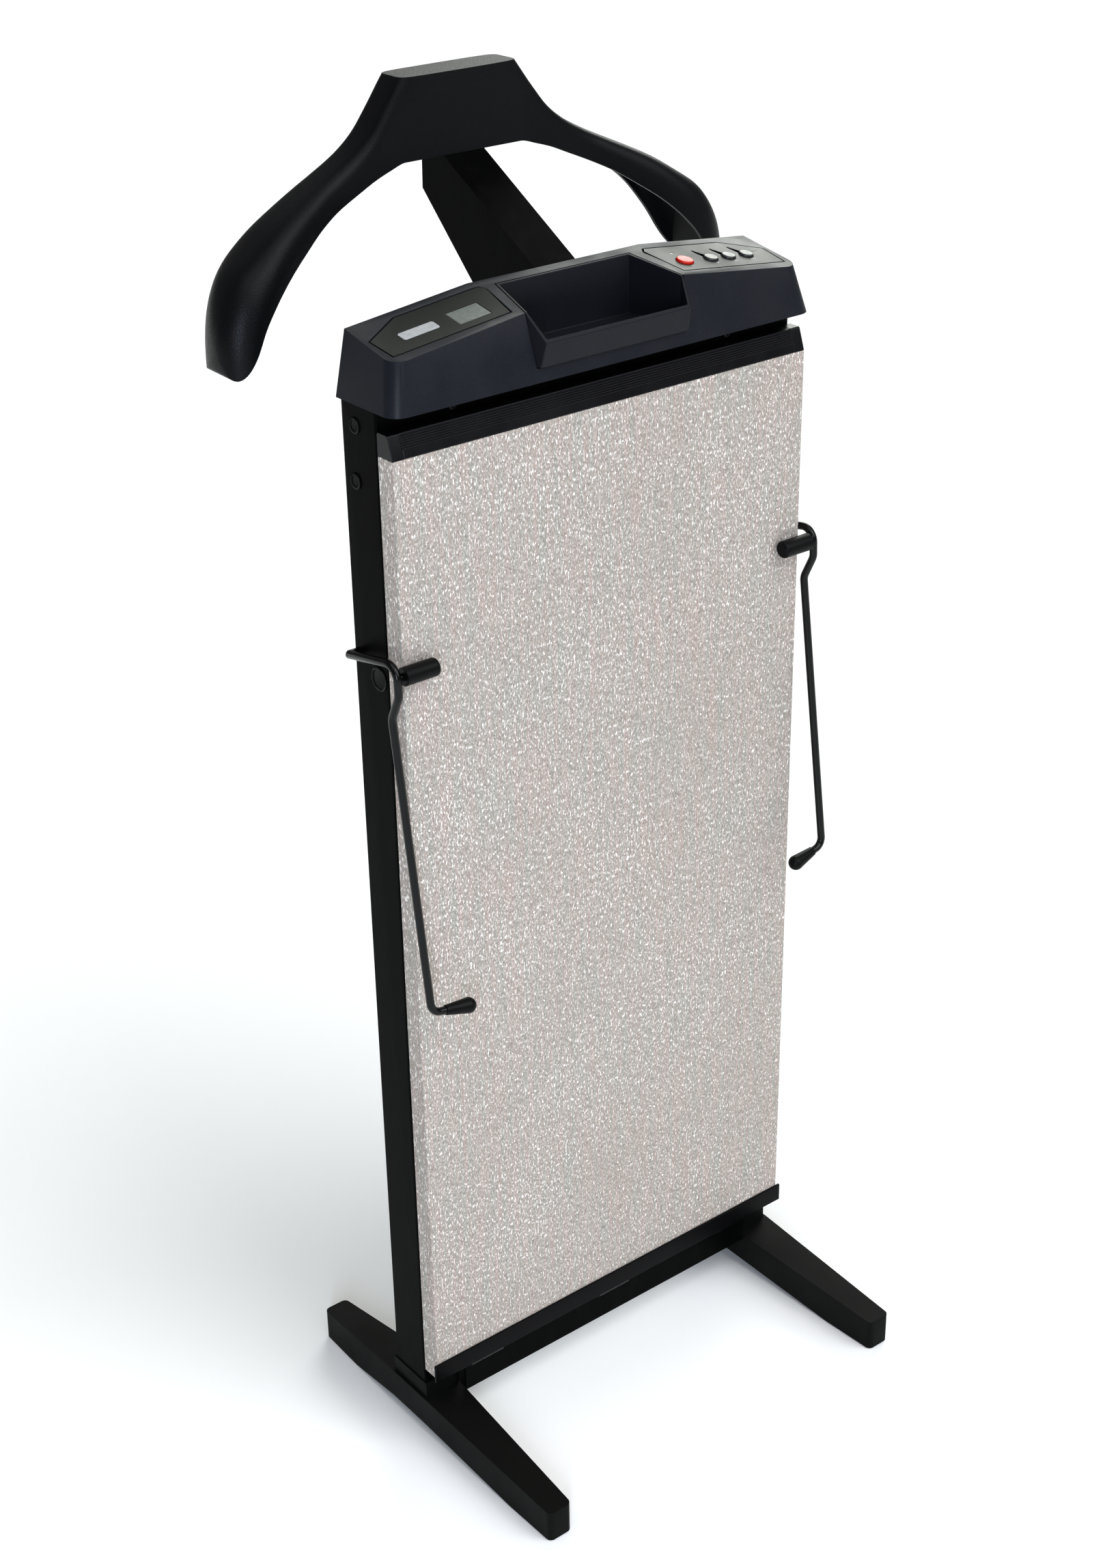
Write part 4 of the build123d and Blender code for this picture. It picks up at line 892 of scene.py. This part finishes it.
def makeLayer(node, name, look, roundReach, seamShare, ripple):
    # a closed slab that thins to a seam all round, with a faint quilted ripple
    low, high = ([v / mm for v in corner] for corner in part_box(node))
    xs, zs = spacedLine(low[0], high[0], layers["columns"]), spacedLine(low[2], high[2], layers["rows"])
    middle, half = (low[1] + high[1]) / 2, (high[1] - low[1]) / 2
    bm = bmesh.new()
    sheets = []
    for side in (-1, 1):
        rows = []
        for z in zs:
            row = []
            for x in xs:
                gap = min(x - xs[0], xs[-1] - x, z - zs[0], zs[-1] - z)
                plump = seamShare + (1 - seamShare) * softEdge(gap, roundReach)
                wave = ripple * (math.sin(x * 0.11 + 0.7) * math.sin(z * 0.06) - 1) * min(1.0, gap / 10)
                row.append(bm.verts.new(Vector((x, middle + side * (half * plump + wave), z)) * mm))
            rows.append(row)
        sheets.append(rows)
        for a, b in zip(rows, rows[1:]):
            for k in range(len(a) - 1):
                bm.faces.new((a[k], a[k + 1], b[k + 1], b[k]))
    front, back = (rows[0] + [r[-1] for r in rows[1:]] + rows[-1][-2::-1] + [r[0] for r in rows[-2:0:-1]]
                   for rows in sheets)
    for k in range(len(front)):
        j = (k + 1) % len(front)
        bm.faces.new((front[k], front[j], back[j], back[k]))
    bmesh.ops.recalc_face_normals(bm, faces=bm.faces)
    obj = meshFrom(name, bm, finish[look], 60)
    return finished(obj, bodyOf(node), slotOf[node], node)


def makeStitches(node, name, facing):
    low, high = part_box(node)
    hem = layers["hem"] * mm
    sizes = {"Width": high[0] - low[0] - 2 * hem, "Length": high[2] - low[2] - 2 * hem,
             "Pitch": layers["stitchPitch"] * mm, "Thread": layers["thread"] * mm}
    y = high[1] - layers["thread"] * 0.4 * mm if facing == "back" else low[1] + layers["thread"] * 0.4 * mm
    spot = ((low[0] + high[0]) / 2, y, (low[2] + high[2]) / 2)
    obj = grow(name, stitchTree(name, sizes), sizes, [spot], finish["stitch"])
    return finished(obj, bodyOf(node), slotOf[node])


def makeLayers():
    for node, name, look, fill in (("front_foam_pad", "frontFoamPad", "foam", layers["foamFill"]),
                                   ("felt_underlay", "feltUnderlay", "felt", layers["feltFill"])):
        makeLayer(node, name, look, 5.0, layers["seam"], layers["ripple"])
    for node, name, facing, under in (("front_press_cloth", "frontPressCloth", "back", "frontFoamPad"),
                                      ("rear_press_cloth", "rearPressCloth", "front", "feltUnderlay")):
        cloth = makeLayer(node, name, "cloth", 1.2, 0.6, 0.06)
        stitches = makeStitches(node, name + "Stitches", facing)


roundings = [  # node, piece, finish, edge radius in mm
    # the header cover and its top panels wear the two light-tinted copies of the header plastic: painted
    # light
    ("front_board", "frontBoard", "laminate", 0.7), ("header_cover", "headerCover", "header", 0.6),
    ("valet_tray", "valetTray", "tray", 0.7), ("left_panel", "displayPanel", "headerTop", 0.2),
    ("control_panel", "controlPanel", "headerTop", 0.2), ("display_window", "displayWindow", "window", 0.15),
    ("foot_left", "leftFoot", "foot", 1.6), ("foot_right", "rightFoot", "foot", 1.6),
    ("upright_left", "leftUpright", "frame", 0.4), ("upright_right", "rightUpright", "frame", 0.4),
    ("lower_rail", "lowerRail", "frame", 0.5), ("upper_rail", "upperRail", "frame", 0.4),
    ("hanger_bracket", "hangerBracket", "frame", 1.2), ("bottom_lip", "bottomLip", "black", 0.4),
    ("trim_end_caps", "trimEndCaps", "trim", 0.5),
    ("rear_cover", "rearCover", "rearSheet", 0.2),
    ("lever_bushes", "leverBushes", "rubber", 0.6), ("cord_pegs", "cordPegs", "black", 0.3),
    ("power_button", "powerButton", "red", 0.25), ("timer_button_1", "timerButton1", "grey", 0.25),
    ("timer_button_2", "timerButton2", "grey", 0.25), ("timer_button_3", "timerButton3", "grey", 0.25),
    ("lever_left", "leftLever", "wire", 0.5), ("lever_right", "rightLever", "wire", 0.5),
    ("grip_left", "leftGrip", "rubber", 0.5), ("grip_right", "rightGrip", "rubber", 0.5),
    ("hinge_rail_leaves", "hingeRailLeaves", "wire", 0.2),
    ("hinge_board_leaves", "hingeBoardLeaves", "wire", 0.2),
]
for node, piece, look, radius in roundings:
    roundedCopy(node, piece, finish[look], radius * mm)
print("rounded pieces ready")

makeScrews("coverScrews", "cover", "rear_cover_screws", "back", "darkScrew")
makeScrews("railScrews", "rail", "upper_rail_screws", "front", "darkScrew")
makeScrews("bracketScrews", "bracket", "bracket_bolts", "back", "darkScrew")
for node in ("side_screw_caps", "pivot_caps"):
    makeCaps(node, "black")
print("screws and caps ready")
makeHanger()
print("hanger ready")
makeTrim()
makeMarks()
print("trim and panel marks ready")
makeLayers()
print("pressing layers ready")

plain = {
    "foot_glides": "rubber", "foot_bolts": "steel", "upright_spigots": "black",
    "thermostat": "steel", "thermal_fuse": "steel", "rear_cover_posts": "black",
    "cable_gland": "rubber", "header_base": "black", "indicator_led": "lamp", "circuit_board": "circuit",
    "circuit_standoffs": "black", "tact_switches": "black", "bracket_plate": "steel",
    "hanger_screws": "steel", "hinge_pins": "steel", "back_board": "fibreboard",
    "heating_pad": "silicone",
}
for node, look in plain.items():
    for place in nodes[node].material_slots:
        place.material = finish[look]
print("carried parts painted")

makeCamera()
makeStudio()
print("studio ready")
